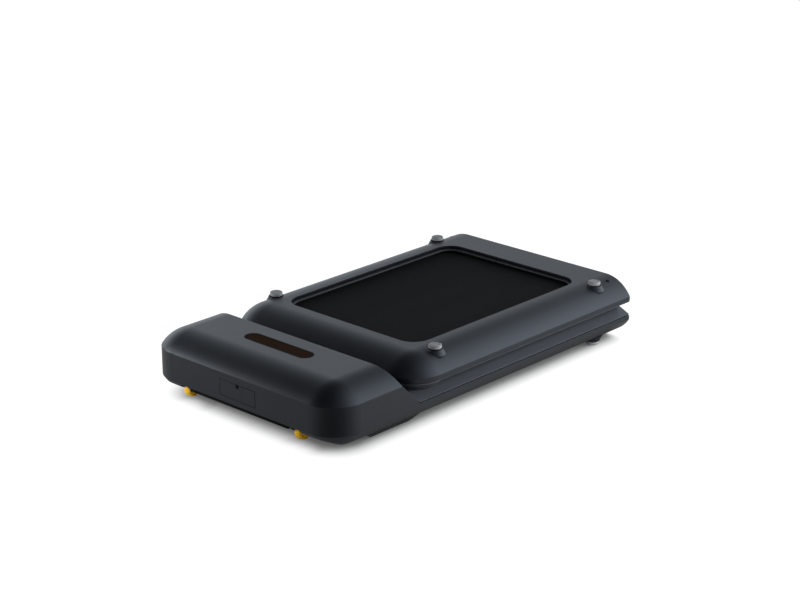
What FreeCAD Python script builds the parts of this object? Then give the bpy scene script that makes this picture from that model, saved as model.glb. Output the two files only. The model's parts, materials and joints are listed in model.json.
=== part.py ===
import FreeCAD, Part
import math
import os
import re
import Sketcher
from FreeCAD import Rotation, Vector

# Folding walking pad, modelled folded: the rear half lies upside down on the front half.
# X is the width, Y the length with the motor head at -Y and the fold at +Y, Z is up.
# A "depth" is a distance from the fold plane, down into the front half or up into the rear one.

doc = FreeCAD.newDocument("WalkingPad")
sheet = doc.addObject("Spreadsheet::Sheet", "Sizes")

SIZES = (
    # Casing
    ("body_width", 500, "overall width"),
    ("body_length", 854, "head front to the fold end"),
    ("tail_gap", 30, "rear end of the head's seam to the tail nose"),
    ("half_depth", 60, "fold plane to a half's flat underside"),
    ("foot_height", 7.2, "foot standing out of the underside"),
    ("shell_wall", 3, "casing wall"),
    ("roll_radius", 73, "rolled edge of the casing"),
    ("roll_overhang", 10.5, "how far the roll is cut short at the crease"),
    ("front_corner", 66, "plan radius of the head corners"),
    ("tail_corner", 70, "plan radius of the tail corners"),
    ("skirt_gap", 1.4, "between the rail's outer edge and the casing"),
    ("window_border", 74.5, "casing side to the opening in the underside"),
    ("window_from_tail", 83, "tail nose to the opening"),
    ("window_from_end", 73, "fold end to the opening"),
    ("window_corner", 38, "corner radius of the opening"),
    ("screw_hole", 5, "fixing hole by each fold corner"),
    ("screw_from_end", 27, "fixing hole to the fold end"),
    # Head
    ("head_height", 131.7, "floor to the head's top"),
    ("crease_height", 98.4, "floor to the seam under the head cover"),
    ("cover_overhang", 11.6, "how far the cover's roll is cut short at the seam"),
    ("head_top_length", 158, "head front to the rear edge of its top"),
    ("head_seam_length", 175, "head front to the rear end of the seam"),
    ("head_foot_length", 222, "head front to the foot of the side wall"),
    ("ramp_rise", 30, "how far the underside rises to the head front"),
    ("ramp_length", 70, "length of that rise"),
    ("cover_wall", 2.6, "head cover wall"),
    ("lens_length", 165, "display lens"),
    ("lens_width", 28, "display lens"),
    ("lens_thick", 3, "display lens"),
    ("lens_from_front", 107, "head front to the lens centre"),
    ("display_inset", 3, "lens edge to the display board"),
    ("display_drop", 10, "lens to the display board"),
    ("digit_size", 18, "display digit"),
    ("digit_pitch", 21, "display digits"),
    ("panel_width", 95, "front sensor panel"),
    ("panel_height", 33, "front sensor panel"),
    ("panel_drop", 13.4, "seam to the panel's upper edge"),
    ("panel_thick", 2, "front sensor panel"),
    ("eye_radius", 2, "receiver window in the panel"),
    ("seat_gap", 0.2, "gap round a seated piece"),
    # Running belt and rollers
    ("belt_side_gap", 2, "between the running belt and a rail"),
    ("belt_thick", 2, "running belt"),
    ("belt_gap", 1.5, "fold plane to the belt's surface"),
    ("run_gap", 0.3, "running gap between belt and rollers"),
    ("roller_radius", 20, "end rollers"),
    ("roller_overhang", 4, "how far a roller reaches past the belt"),
    ("roller_tube", 3, "end roller wall"),
    ("roller_from_front", 125, "head front to the drive roller axis"),
    ("roller_from_tail", 46, "tail nose to the tail roller axis"),
    ("bearing_radius", 14, "roller bearing"),
    ("bearing_width", 8, "roller bearing"),
    ("shaft_radius", 6, "roller shaft"),
    ("shaft_fit", 0.03, "running clearance of a bore on its shaft"),
    ("fold_radius", 14, "belt bend round the fold axis, to its middle"),
    ("hinge_setback", 2, "fold end to the fold axis"),
    ("guide_radius", 12, "guide roller by the fold"),
    ("guide_setback", 21, "fold axis to the guide roller axis"),
    ("guide_shaft", 5, "guide roller journal"),
    ("glide_setback", 72, "fold axis to the glide bar axis"),
    # Deck, rails and frame
    ("deck_gap", 10, "between the deck board and a beam"),
    ("deck_thick", 14, "deck board"),
    ("deck_from_roller", 32, "end roller axis to the deck board"),
    ("deck_from_fold", 54, "fold axis to the deck board"),
    ("rail_width", 56, "foot rail with its slope"),
    ("rail_slope", 28, "casing side to where the rail starts to slope"),
    ("rail_gap", 0.75, "fold plane to the rail's flat top"),
    ("rail_edge_depth", 13, "fold plane to the rail's outer edge"),
    ("rail_lip", 1.2, "height of the rail's outer edge"),
    ("rail_inset", 1, "casing side to the rail's outer edge"),
    ("rail_skin", 2.8, "rail wall"),
    ("rail_skirt", 22, "fold plane to the foot of the rail's hidden skirt"),
    ("frame_gap", 2, "between the drive pulley and a beam"),
    ("beam_width", 18, "frame beam"),
    ("beam_depth", 11, "fold plane to the frame beam"),
    ("beam_height", 27, "frame beam"),
    ("beam_wall", 2, "frame tube wall"),
    ("beam_from_front", 98, "head front to the frame beam"),
    ("beam_gap", 1.2, "between the tail cap and a beam"),
    ("cross_width", 30, "cross tube"),
    ("cross_height", 18, "cross tube"),
    ("cross_from_roller", 40, "end roller axis to the cross tube"),
    ("bracket_thick", 5, "tail roller bracket"),
    ("bracket_reach", 16, "roller axis to the bracket's end"),
    ("bracket_length", 68, "tail roller bracket"),
    # Fold hinge
    ("knuckle_radius", 6.5, "hinge knuckle"),
    ("knuckle_width", 6, "hinge knuckle"),
    ("knuckle_gap", 0.3, "between knuckles"),
    ("hinge_gap", 3, "rail's inner edge to the first knuckle"),
    ("pin_radius", 3, "hinge pin"),
    ("leaf_thick", 3, "hinge leaf"),
    ("leaf_lap", 12, "how far a leaf lies on its beam"),
    ("leaf_length", 50, "fold axis to the leaf's far end"),
    ("arm_length", 20, "fold axis to the foot of the hinge arm"),
    # Feet and transport wheels
    ("boss_gap", 4.8, "between the running belt and a foot boss"),
    ("foot_from_tail", 99, "tail nose to the feet by the tail"),
    ("foot_from_end", 71, "fold end to the feet by the fold"),
    ("foot_radius", 12.7, "rubber foot"),
    ("foot_rounding", 2.4, "rubber foot's rounded rim"),
    ("foot_seat", 4, "how far a foot sits in its boss"),
    ("boss_radius", 14.9, "foot boss"),
    ("boss_drop", 0.8, "flat underside to the boss rim"),
    ("boss_spread", 5.5, "how far a boss widens to its foot"),
    ("boss_rise", 11, "height of that slope"),
    ("block_from_side", 55, "casing side to the long foot's middle"),
    ("block_width", 26, "long foot"),
    ("block_length", 103, "long foot, at the floor"),
    ("block_seat", 8, "how far the long foot reaches up round the casing"),
    ("block_slope", 1.6, "how far its ends slope out for each unit of height"),
    ("block_flare", 0.75, "how far its sides slope out for each unit of height"),
    ("block_from_front", 134, "head front to the long foot"),
    ("wheel_radius", 14, "transport wheel"),
    ("wheel_width", 18, "transport wheel"),
    ("wheel_from_side", 102, "casing side to the transport wheel's middle"),
    ("wheel_from_front", 20, "head front to the wheel axle"),
    ("wheel_clear", 15.5, "floor to the wheel"),
    ("axle_radius", 4, "wheel axle"),
    ("ear_thick", 4, "ear that carries the wheel axle"),
    ("wheel_gap", 2, "gap each side of the wheel"),
    ("wheel_notch", 4, "notch in the head's front edge at a wheel"),
    # Drive
    ("motor_radius", 38, "drive motor"),
    ("motor_length", 112, "drive motor"),
    ("motor_gap", 10, "between the motor and its pulley"),
    ("motor_clear", 2.9, "between the motor and the running belt"),
    ("motor_lift", 12, "between the casing floor and the motor"),
    ("motor_cap", 16, "end cap of the motor"),
    ("motor_step", 4, "how far an end cap is set in"),
    ("saddle_inset", 26, "motor end to its saddle"),
    ("motor_shaft", 5, "motor shaft"),
    ("pulley_gap", 2, "between a roller and its pulley"),
    ("pulley_width", 14, "drive pulleys"),
    ("pulley_radius", 25, "drive roller pulley"),
    ("pinion_radius", 10, "motor pulley"),
    ("flywheel_radius", 36, "flywheel beside the motor pulley"),
    ("flywheel_gap", 2, "between the flywheel and the motor"),
    ("flywheel_neck", 1.2, "between the flywheel and the drive belt's pulley"),
    ("rib_count", 4, "grooves of the drive pulleys"),
    ("rib_depth", 1.5, "grooves of the drive pulleys"),
    ("drive_thick", 2.4, "drive belt"),
    # Electrics
    ("board_from_side", 54, "casing side to the controller board"),
    ("board_width", 150, "controller board"),
    ("board_clear", 4.7, "between the controller board and the running belt"),
    ("board_length", 52, "controller board"),
    ("board_height", 46, "floor to the controller board"),
    ("board_thick", 1.6, "circuit boards"),
    ("part_margin", 4, "board edge to its parts"),
    ("choke_size", 20, "choke on the board"),
    ("capacitor_radius", 11, "capacitor on the board"),
    ("capacitor_height", 32, "capacitor on the board"),
    ("plug_length", 32, "plug on the board"),
    ("plug_width", 18, "plug on the board"),
    ("plug_height", 9, "plug on the board"),
    ("sink_base", 4, "heat sink base"),
    ("sink_shift", 16, "board middle to the heat sink's edge"),
    ("fin_count", 9, "heat sink fins"),
    ("fin_thick", 2, "heat sink fins"),
    ("fin_height", 22, "heat sink fins"),
    ("fin_pitch", 6, "heat sink fins"),
    ("inlet_from_front", 74, "head front to the mains inlet plate"),
    ("inlet_length", 78, "mains inlet plate"),
    ("inlet_drop", 10.4, "seam to the inlet plate's upper edge"),
    ("inlet_height", 30, "mains inlet plate"),
    ("inlet_depth", 17, "mains inlet body"),
    ("rocker_length", 20, "power switch rocker"),
    ("rocker_height", 12, "power switch rocker"),
    ("rocker_draft", 0.8, "how far the rocker narrows to its face"),
)

# Sizes that follow from the ones above, each with the clearance or border that it keeps.
FITTED = (
    ("rear_length", "=body_length - head_seam_length - tail_gap", "tail nose to the fold end"),
    ("window_width", "=body_width - 2 * window_border", "opening in the underside"),
    ("rail_inner", "=body_width / 2 - rail_width", "middle to the rail's inner edge"),
    ("rail_shoulder", "=body_width / 2 - rail_slope", "middle to where the rail starts to slope"),
    ("skirt_depth", "=rail_edge_depth + rail_lip + skirt_gap", "fold plane to the casing's open edge"),
    ("belt_width", "=2 * (rail_inner - belt_side_gap)", "running belt"),
    ("roller_length", "=belt_width + 2 * roller_overhang", "end rollers"),
    ("pulley_x", "=roller_length / 2 + pulley_gap", "middle to the drive pulleys"),
    ("beam_inner", "=pulley_x + pulley_width + frame_gap", "middle to the frame beam"),
    ("beam_from_tail", "=tail_corner + rail_skin + beam_gap", "tail nose to the frame beam"),
    ("deck_width", "=2 * (beam_inner - deck_gap)", "deck board"),
    ("deck_from_front", "=roller_from_front + deck_from_roller", "head front to the deck board"),
    ("deck_from_tail", "=roller_from_tail + deck_from_roller", "tail nose to the deck board"),
    ("cross_from_front", "=roller_from_front + cross_from_roller", "head front to the cross tube"),
    ("cross_from_tail", "=roller_from_tail + cross_from_roller", "tail nose to the cross tube"),
    ("bracket_from_tail", "=roller_from_tail - bracket_reach", "tail nose to the roller bracket"),
    ("knuckle_inner", "=rail_inner + hinge_gap", "middle to the first knuckle"),
    ("leaf_outer", "=beam_inner + leaf_lap", "middle to the leaf's outer edge"),
    ("foot_x", "=belt_width / 2 + boss_gap + boss_radius", "middle to the feet"),
    ("foot_near", "=head_seam_length + tail_gap + foot_from_tail", "head front to the feet by the tail"),
    ("block_x", "=body_width / 2 - block_from_side", "middle to the long foot"),
    ("wheel_x", "=body_width / 2 - wheel_from_side", "middle to the transport wheel"),
    ("panel_low", "=crease_height - panel_drop - panel_height", "floor to the panel's lower edge"),
    ("inlet_low", "=crease_height - inlet_drop - inlet_height", "floor to the inlet plate"),
    ("motor_x", "=pulley_x - motor_gap - motor_length", "middle to the motor's inner end"),
    ("motor_height", "=foot_height + shell_wall + motor_lift + motor_radius", "floor to the motor axis"),
    ("roller_height", "=foot_height + half_depth - belt_gap - belt_thick - run_gap - roller_radius",
     "floor to the drive roller axis"),
    ("drive_centres", "=motor_radius + motor_clear + belt_thick + run_gap + roller_radius",
     "motor axis to the drive roller axis"),
    ("motor_from_front", "=roller_from_front - sqrt(drive_centres ^ 2 - (motor_height - roller_height) ^ 2)",
     "head front to the motor axis"),
    ("board_x", "=board_from_side - body_width / 2", "left edge of the controller board"),
    ("board_from_front",
     "=roller_from_front - roller_radius - run_gap - belt_thick - board_clear - board_length",
     "head front to the controller board"),
)

for row, (alias, size, meaning) in enumerate(SIZES + FITTED, start=1):
    sheet.set("A%d" % row, meaning)
    sheet.set("B%d" % row, str(size))
    sheet.setAlias("B%d" % row, alias)
doc.recompute()

NAMES = {alias for alias, size, meaning in SIZES + FITTED}

# Places worked out from the sizes above, as expressions.
MID = "(foot_height + half_depth)"
FRONT = "(-(body_length + hinge_setback + fold_radius + belt_thick / 2) / 2)"
END = "(%s + body_length)" % FRONT
FOLD = "(%s + hinge_setback)" % END
TAIL = "(%s - rear_length)" % END
SIDE = "(body_width / 2)"
DECK = "(belt_gap + belt_thick + run_gap)"
UNDER_DECK = "(%s + deck_thick)" % DECK
ROLLER = "(%s + roller_radius)" % DECK
RETURN = "(%s + roller_radius + run_gap)" % ROLLER
GUIDE = "(fold_radius + belt_thick / 2 + run_gap + guide_radius)"
GLIDE_RADIUS = "((%s - run_gap - %s) / 2 - run_gap)" % (RETURN, UNDER_DECK)
GLIDE = "(%s + run_gap + %s)" % (UNDER_DECK, GLIDE_RADIUS)
DRIVE_Y = "(%s + roller_from_front)" % FRONT
TAIL_Y = "(%s + roller_from_tail)" % TAIL
MOTOR_Y = "(%s + motor_from_front)" % FRONT
WHEEL_Y = "(%s + wheel_from_front)" % FRONT
WHEEL_Z = "(wheel_clear + wheel_radius)"


def sized(text):
    """Point every size named in an expression at its cell in the sheet."""
    return re.sub(r"[a-z_]\w*", lambda m: "Sizes." + m.group() if m.group() in NAMES else m.group(),
                  str(text))


def value(text):
    """Number that an expression has now."""
    return float(sheet.evalExpression(sized(text)))


def bind(thing, **sizes):
    """Tie properties of an object to expressions of the sheet."""
    for name, text in sizes.items():
        thing.setExpression(name, sized(text))
    return thing


def place(thing, x="0", y="0", z="0", turn=None):
    """Put an object at a place given by three expressions."""
    if turn is not None:
        thing.Placement = FreeCAD.Placement(Vector(), turn)
    for axis, text in zip("xyz", (x, y, z)):
        thing.setExpression("Placement.Base." + axis, sized(text))
    return thing


def depth_z(half, depth):
    """Height of a depth in the front (+1, below the fold plane) or rear half (-1, above it)."""
    return "(%s %s (%s))" % (MID, "-" if half > 0 else "+", depth)


def box(name, x, y, z):
    """Box between two expressions on each axis."""
    block = doc.addObject("Part::Box", name)
    bind(block, Length="(%s) - (%s)" % (x[1], x[0]), Width="(%s) - (%s)" % (y[1], y[0]),
         Height="(%s) - (%s)" % (z[1], z[0]))
    return place(block, x[0], y[0], z[0])


def deep_box(name, half, x, y, depth):
    """Box between two depths of one half."""
    low, high = (depth[1], depth[0]) if half > 0 else (depth[0], depth[1])
    return box(name, x, y, (depth_z(half, low), depth_z(half, high)))


def rod(name, radius, x, y, z):
    """Cylinder along X."""
    pin = doc.addObject("Part::Cylinder", name)
    bind(pin, Radius=radius, Height="(%s) - (%s)" % (x[1], x[0]))
    return place(pin, x[0], y, z, Rotation(Vector(0, 1, 0), 90))


def post(name, radius, x, y, z):
    """Cylinder along Z."""
    pin = doc.addObject("Part::Cylinder", name)
    bind(pin, Radius=radius, Height="(%s) - (%s)" % (z[1], z[0]))
    return place(pin, x, y, z[0])


def fuse(name, *pieces):
    whole = doc.addObject("Part::MultiFuse", name)
    whole.Shapes = list(pieces)
    return whole


def common(name, *pieces):
    shared = doc.addObject("Part::MultiCommon", name)
    shared.Shapes = list(pieces)
    return shared


def cut(name, base, *tools):
    rest = doc.addObject("Part::Cut", name)
    rest.Base = base
    rest.Tool = tools[0] if len(tools) == 1 else fuse(name + "_tools", *tools)
    return rest


def mirror(name, source):
    """The same piece on the other side of the middle."""
    twin = doc.addObject("Part::Mirroring", name)
    twin.Source = source
    twin.Normal = Vector(1, 0, 0)
    return twin


def new_body(name):
    return doc.addObject("PartDesign::Body", name)


def outline(body, role, points, level="0"):
    """Closed polygon sketch on an origin plane, each corner bound to two expressions."""
    sketch = body.newObject("Sketcher::SketchObject", body.Name + "_sketch")
    plane = next(f for f in body.Origin.OriginFeatures if f.Role == role)
    sketch.AttachmentSupport = (plane, [""])
    sketch.MapMode = "FlatFace"
    sketch.setExpression("AttachmentOffset.Base.z", sized(level))
    corners = [Vector(value(a), value(b), 0) for a, b in points]
    count = len(corners)
    for i in range(count):
        sketch.addGeometry(Part.LineSegment(corners[i], corners[(i + 1) % count]))
    for i in range(count):
        sketch.addConstraint(Sketcher.Constraint("Coincident", i, 2, (i + 1) % count, 1))
    for i, (a, b) in enumerate(points):
        for kind, text, at in (("DistanceX", a, corners[i].x), ("DistanceY", b, corners[i].y)):
            row = sketch.addConstraint(Sketcher.Constraint(kind, i, 1, at))
            sketch.setExpression("Constraints[%d]" % row, sized(text))
    return sketch


def pad(body, sketch, length, reverse=False, midplane=False):
    step = body.newObject("PartDesign::Pad", body.Name + "_pad")
    step.Profile = sketch
    step.Reversed = reverse
    step.Midplane = midplane
    bind(step, Length=length)
    doc.recompute()
    return step


def revolve(body, sketch):
    """Full turn about the sketch's horizontal axis, which is X."""
    step = body.newObject("PartDesign::Revolution", body.Name + "_turn")
    step.Profile = sketch
    step.ReferenceAxis = (sketch, ["H_Axis"])
    step.Angle = 360
    doc.recompute()
    return step


def round_edges(body, radius, wanted, kind="PartDesign::Fillet"):
    """Round, or chamfer, the edges of the body that pass a test."""
    tip = body.Tip
    edges = ["Edge%d" % (i + 1) for i, edge in enumerate(tip.Shape.Edges) if wanted(edge)]
    step = body.newObject(kind, body.Name + "_edges")
    step.Base = (tip, edges)
    bind(step, **{"Radius" if kind.endswith("Fillet") else "Size": radius})
    doc.recompute()
    return step


def upright(edge):
    """True for a straight edge along Z."""
    return edge.Curve.TypeId == "Part::GeomLine" and abs(edge.tangentAt(edge.FirstParameter).z) > 0.99


def slab(name, half_width, y, z, corner, nose=-1):
    """Plan block with two rounded corners at its -Y end, or all four when nose is 0."""
    body = new_body(name)
    sketch = outline(body, "XY_Plane", (("-(%s)" % half_width, y[0]), (half_width, y[0]),
                                        (half_width, y[1]), ("-(%s)" % half_width, y[1])), z[0])
    pad(body, sketch, "(%s) - (%s)" % (z[1], z[0]))
    middle = (value(y[0]) + value(y[1])) / 2
    round_edges(body, corner, lambda e: upright(e) and (nose == 0 or e.CenterOfMass.y < middle))
    return body


def rolled(name, y, z, flat, corner, overhang, inset):
    """Casing block: rolled over along its flat face, with the roll cut short at a crease."""
    reach = "(%s + %s - %s)" % (SIDE, overhang, inset)
    tall = (flat, "%s + 2 * roll_radius" % flat) if flat == z[0] else ("%s - 2 * roll_radius" % flat, flat)
    block = slab(name + "_roll", reach, ("%s - %s + %s" % (y[0], overhang, inset), y[1]), tall,
                 "%s + %s - %s" % (corner, overhang, inset))
    level, back = value(flat), value(y[1])
    roll = "min(roll_radius; %s + %s - 1)" % (corner, overhang)
    round_edges(block, "%s - (%s)" % (roll, inset), lambda e: abs(e.CenterOfMass.z - level) < 1e-3
                and abs(e.CenterOfMass.y - back) > 1e-3)
    trim = slab(name + "_trim", "%s - (%s)" % (SIDE, inset), ("%s + %s" % (y[0], inset), y[1]), z,
                "%s - (%s)" % (corner, inset))
    return common(name, block, trim)


def side_prism(name, points, half_width):
    """Solid with a side view given in Y and Z, as wide as the body or narrower."""
    body = new_body(name)
    pad(body, outline(body, "YZ_Plane", points), "2 * (%s)" % half_width, midplane=True)
    return body


def feature(name, shape):
    """Node whose path needs tangents that a sketch would have to solve for."""
    piece = doc.addObject("Part::Feature", name)
    piece.Shape = shape
    return piece


FRONT_HALF, REAR_HALF = 1, -1
HALVES = ((FRONT_HALF, "front"), (REAR_HALF, "rear"))


# Casing of the two halves

def window(name, half, y):
    """Opening in the underside, through which the belt's return run shows."""
    z = (depth_z(half, "half_depth + 1"), depth_z(half, "half_depth - roll_radius / 3"))
    return slab(name, "window_width / 2", y, z if half > 0 else (z[1], z[0]), "window_corner", nose=0)


def foot_places(half):
    """X and Y of the round feet of one half."""
    far = "%s - foot_from_end" % END
    rows = (far,) if half > 0 else (far, "%s + foot_near" % FRONT)
    return [(side + "foot_x", y) for y in rows for side in ("-", "")]


def boss_set(name, half):
    """Bosses that carry the feet: a core down to the frame beam and a sloping collar outside."""
    top, rim = "beam_depth + beam_height + seat_gap", "half_depth - boss_drop"
    spread = "half_depth - boss_drop - boss_rise"
    pieces = []
    for i, (x, y) in enumerate(foot_places(half)):
        low, high = (rim, top) if half > 0 else (top, rim)
        pieces.append(post("%s_boss_%d" % (name, i), "boss_radius", x, y,
                           (depth_z(half, low), depth_z(half, high))))
        collar = doc.addObject("Part::Cone", "%s_collar_%d" % (name, i))
        wide, slim = "boss_radius + boss_spread", "boss_radius"
        bind(collar, Height="boss_rise", Radius1=slim if half > 0 else wide,
             Radius2=wide if half > 0 else slim)
        pieces.append(place(collar, x, y, depth_z(half, rim if half > 0 else spread)))
    return pieces


def foot_seats(name, half):
    low, high = ("half_depth + 1", "half_depth - boss_drop - foot_seat")
    z = (depth_z(half, low), depth_z(half, high)) if half > 0 else (depth_z(half, high), depth_z(half, low))
    return [post("%s_seat_%d" % (name, i), "foot_radius + seat_gap", x, y, z)
            for i, (x, y) in enumerate(foot_places(half))]


def screw_holes(name, half):
    y = "%s - screw_from_end" % END
    low, high = ("half_depth + 1", "half_depth - roll_radius / 3")
    z = (depth_z(half, low), depth_z(half, high)) if half > 0 else (depth_z(half, high), depth_z(half, low))
    return [post("%s_screw_%d" % (name, i), "screw_hole / 2", side + "foot_x", y, z)
            for i, side in enumerate(("-", ""))]


def glide_relief(name, half):
    """Room in the bosses for the glide bar's ends."""
    return rod(name, "%s + seat_gap" % GLIDE_RADIUS, ("-beam_inner - seat_gap", "beam_inner + seat_gap"),
               "%s - glide_setback" % FOLD, depth_z(half, GLIDE))


def belt_slot(name, half):
    """Opening in the fold end's wall for the belt."""
    return deep_box(name, half, ("-rail_inner", "rail_inner"), ("%s - 3 * shell_wall" % END, "%s + 1" % END),
                    ("skirt_depth - 2", "fold_radius + belt_thick + 3"))


rear_outer = rolled("rear_outer", (TAIL, END), (depth_z(-1, "skirt_depth"), depth_z(-1, "half_depth")),
                    depth_z(-1, "half_depth"), "tail_corner", "roll_overhang", "0")
rear_hollow = rolled("rear_hollow", (TAIL, "%s - shell_wall" % END),
                     (depth_z(-1, "skirt_depth - 1"), depth_z(-1, "half_depth - shell_wall")),
                     depth_z(-1, "half_depth - shell_wall"), "tail_corner", "roll_overhang", "shell_wall")
rear_window = window("rear_window", REAR_HALF,
                     ("%s + window_from_tail" % TAIL, "%s - window_from_end" % END))
rear_tub = cut("rear_tub", rear_outer, rear_hollow)
rear_bossed = fuse("rear_bossed", rear_tub, *boss_set("rear", REAR_HALF))
rear_shell = cut("rear_shell", rear_bossed, rear_window, belt_slot("rear_slot", REAR_HALF),
                 glide_relief("rear_relief", REAR_HALF),
                 *foot_seats("rear", REAR_HALF), *screw_holes("rear", REAR_HALF))

front_outer = rolled("front_outer", (FRONT, END), ("foot_height", "crease_height"), "foot_height",
                     "front_corner", "roll_overhang", "0")
front_cavity = rolled("front_cavity", (FRONT, "%s - shell_wall" % END),
                      ("foot_height + shell_wall", "crease_height + 1"), "foot_height + shell_wall",
                      "front_corner", "roll_overhang", "shell_wall")


def ramp(name, lift):
    """Wedge under the head, where the underside rises to clear the floor in front of the wheels."""
    low = "foot_height + %s" % lift
    return side_prism(name, (("%s - 20" % FRONT, "%s - 20" % low),
                             ("%s - 20" % FRONT, "%s + ramp_rise * (1 + 20 / ramp_length)" % low),
                             ("%s + ramp_length" % FRONT, low),
                             ("%s + ramp_length" % FRONT, "%s - 20" % low)),
                      "%s + 20" % SIDE)


front_hollow = cut("front_hollow", front_cavity, ramp("inner_ramp", "shell_wall"))
above_rails = side_prism("above_rails", (
    ("%s + head_seam_length" % FRONT, "crease_height + 1"),
    ("%s + head_seam_length" % FRONT, "crease_height"),
    ("%s + head_foot_length" % FRONT, depth_z(1, "skirt_depth")),
    ("%s + 20" % END, depth_z(1, "skirt_depth")), ("%s + 20" % END, "crease_height + 1")), "%s + 20" % SIDE)
front_window = window("front_window", FRONT_HALF,
                      ("%s + head_foot_length + 20" % FRONT, "%s - window_from_end" % END))
front_tub = cut("front_tub", front_outer, front_hollow, ramp("outer_ramp", "0"), above_rails)


def wheel_ears():
    """Ribs over the underside that carry the wheel axles."""
    ears = []
    for side in (-1, 1):
        for edge in (-1, 1):
            inner = "wheel_x + %d * (wheel_width / 2 + wheel_gap)" % edge
            outer = "%s + %d * ear_thick" % (inner, edge)
            x = sorted(("%d * (%s)" % (side, inner), "%d * (%s)" % (side, outer)), key=value)
            ears.append(box("wheel_ear_%d_%d" % (side + 1, edge + 1), x,
                            (FRONT, "%s + 1.6 * axle_radius" % WHEEL_Y),
                            ("foot_height", "%s + 1.6 * axle_radius" % WHEEL_Z)))
    return common("wheel_ears", fuse("wheel_ear_set", *ears), front_hollow)


def wheel_slots():
    """Room for each wheel, with a low notch in the head's front edge."""
    rooms = []
    for side in (-1, 1):
        x = ("%d * wheel_x - wheel_width / 2 - wheel_gap" % side,
             "%d * wheel_x + wheel_width / 2 + wheel_gap" % side)
        rooms.append(box("wheel_slot_%d" % side, x,
                         ("%s - wheel_radius - wheel_gap / 2" % WHEEL_Y,
                          "%s + wheel_radius + wheel_gap" % WHEEL_Y),
                         ("0", "%s + wheel_radius" % WHEEL_Z)))
        rooms.append(box("wheel_notch_%d" % side, x, ("%s - 1" % FRONT, WHEEL_Y),
                         ("0", "foot_height + ramp_rise + wheel_notch")))
    return rooms


def axle_holes():
    return [rod("axle_hole_%d" % side, "axle_radius",
                ("%d * wheel_x - wheel_width" % side, "%d * wheel_x + wheel_width" % side),
                WHEEL_Y, WHEEL_Z) for side in (-1, 1)]


def panel_block(name, gap, back):
    """Front panel, or the recess that it sits in."""
    return box(name, ("-panel_width / 2 - %s" % gap, "panel_width / 2 + %s" % gap),
               (FRONT, "%s + %s" % (FRONT, back)),
               ("panel_low - %s" % gap, "panel_low + panel_height + %s" % gap))


def board_posts():
    """Posts that hold the controller board over the underside."""
    posts = [post("board_post_%d%d" % (i, j), "4", "board_x + %s" % x,
                  "%s + board_from_front + %s" % (FRONT, y),
                  ("foot_height", "board_height"))
             for i, x in enumerate(("8", "board_width - 8"))
             for j, y in enumerate(("8", "board_length - 8"))]
    return common("board_posts", fuse("board_post_set", *posts), front_hollow)


INLET_Y = ("%s + inlet_from_front" % FRONT, "%s + inlet_from_front + inlet_length" % FRONT)
inlet_hole = box("inlet_hole", ("-%s - 1" % SIDE, "-%s + 2 * shell_wall" % SIDE),
                 ("%s - seat_gap" % INLET_Y[0], "%s + seat_gap" % INLET_Y[1]),
                 ("inlet_low - seat_gap", "inlet_low + inlet_height + seat_gap"))
front_bossed = fuse("front_bossed", front_tub, wheel_ears(), board_posts(), *boss_set("front", FRONT_HALF))
front_shell = cut("front_shell", front_bossed, front_window, belt_slot("front_slot", FRONT_HALF),
                  glide_relief("front_relief", FRONT_HALF), inlet_hole,
                  panel_block("panel_recess", "seat_gap", "panel_thick"),
                  *wheel_slots(), *axle_holes(), *foot_seats("front", FRONT_HALF),
                  *screw_holes("front", FRONT_HALF))


# Head cover, display and sensor panel

def head_wedge(name, inset):
    """Side view of the head above its seam, with the leaning rear end."""
    return side_prism(name, (("%s - 30" % FRONT, "crease_height - 1"),
                             ("%s - 30" % FRONT, "head_height + 1"),
                             ("%s + head_top_length - (%s)" % (FRONT, inset), "head_height + 1"),
                             ("%s + head_seam_length - (%s)" % (FRONT, inset), "crease_height - 1")),
                      "%s + 30" % SIDE)


def lens_shape(name, gap, z):
    return place(slab(name, "lens_length / 2 + (%s)" % gap,
                      ("-lens_width / 2 - (%s)" % gap, "lens_width / 2 + (%s)" % gap), z,
                      "lens_width / 2 + (%s) - 0.01" % gap, nose=0), "0", "%s + lens_from_front" % FRONT)


HEAD_Y = (FRONT, "%s + head_seam_length + 20" % FRONT)
cover_outer = common("cover_outer", rolled("cover_block", HEAD_Y, ("crease_height", "head_height"),
                                           "head_height",
                                           "front_corner", "cover_overhang", "0"),
                     head_wedge("cover_wedge", "0"))
cover_hollow = common("cover_hollow", rolled("cover_core", HEAD_Y,
                                             ("crease_height - 1", "head_height - cover_wall"),
                                             "head_height - cover_wall", "front_corner", "cover_overhang",
                                             "cover_wall"),
                      head_wedge("cover_core_wedge", "cover_wall"))
apron = box("cover_apron", ("-%s + shell_wall + seat_gap" % SIDE, "%s - shell_wall - seat_gap" % SIDE),
            ("%s + head_seam_length - cover_wall" % FRONT, "%s + head_seam_length" % FRONT),
            (depth_z(1, "rail_gap - 2"), "crease_height + cover_wall"))
head_cover = cut("head_cover", fuse("cover_body", cut("cover_shell", cover_outer, cover_hollow), apron),
                 lens_shape("lens_hole", "seat_gap", ("head_height - 20", "head_height + 1")))
display_lens = lens_shape("display_lens", "0", ("head_height - lens_thick", "head_height"))


def display():
    """Circuit board under the lens, with a row of digit blocks."""
    y = "%s + lens_from_front" % FRONT
    low = "head_height - lens_thick - display_drop"
    half_width = "(lens_width / 2 - display_inset)"
    pieces = [box("display_pcb", ("-lens_length / 2 + 2 * display_inset",
                                  "lens_length / 2 - 2 * display_inset"),
                  ("%s - %s" % (y, half_width), "%s + %s" % (y, half_width)),
                  (low, "%s + board_thick" % low))]
    for i in range(-2, 3):
        x = "%d * digit_pitch" % i
        pieces.append(box("digit_%d" % (i + 2), ("%s - digit_size / 2" % x, "%s + digit_size / 2" % x),
                          ("%s - digit_size / 2" % y, "%s + digit_size / 2" % y),
                          (low, "head_height - lens_thick - seat_gap")))
    return fuse("display_board", *pieces)


display()

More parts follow.
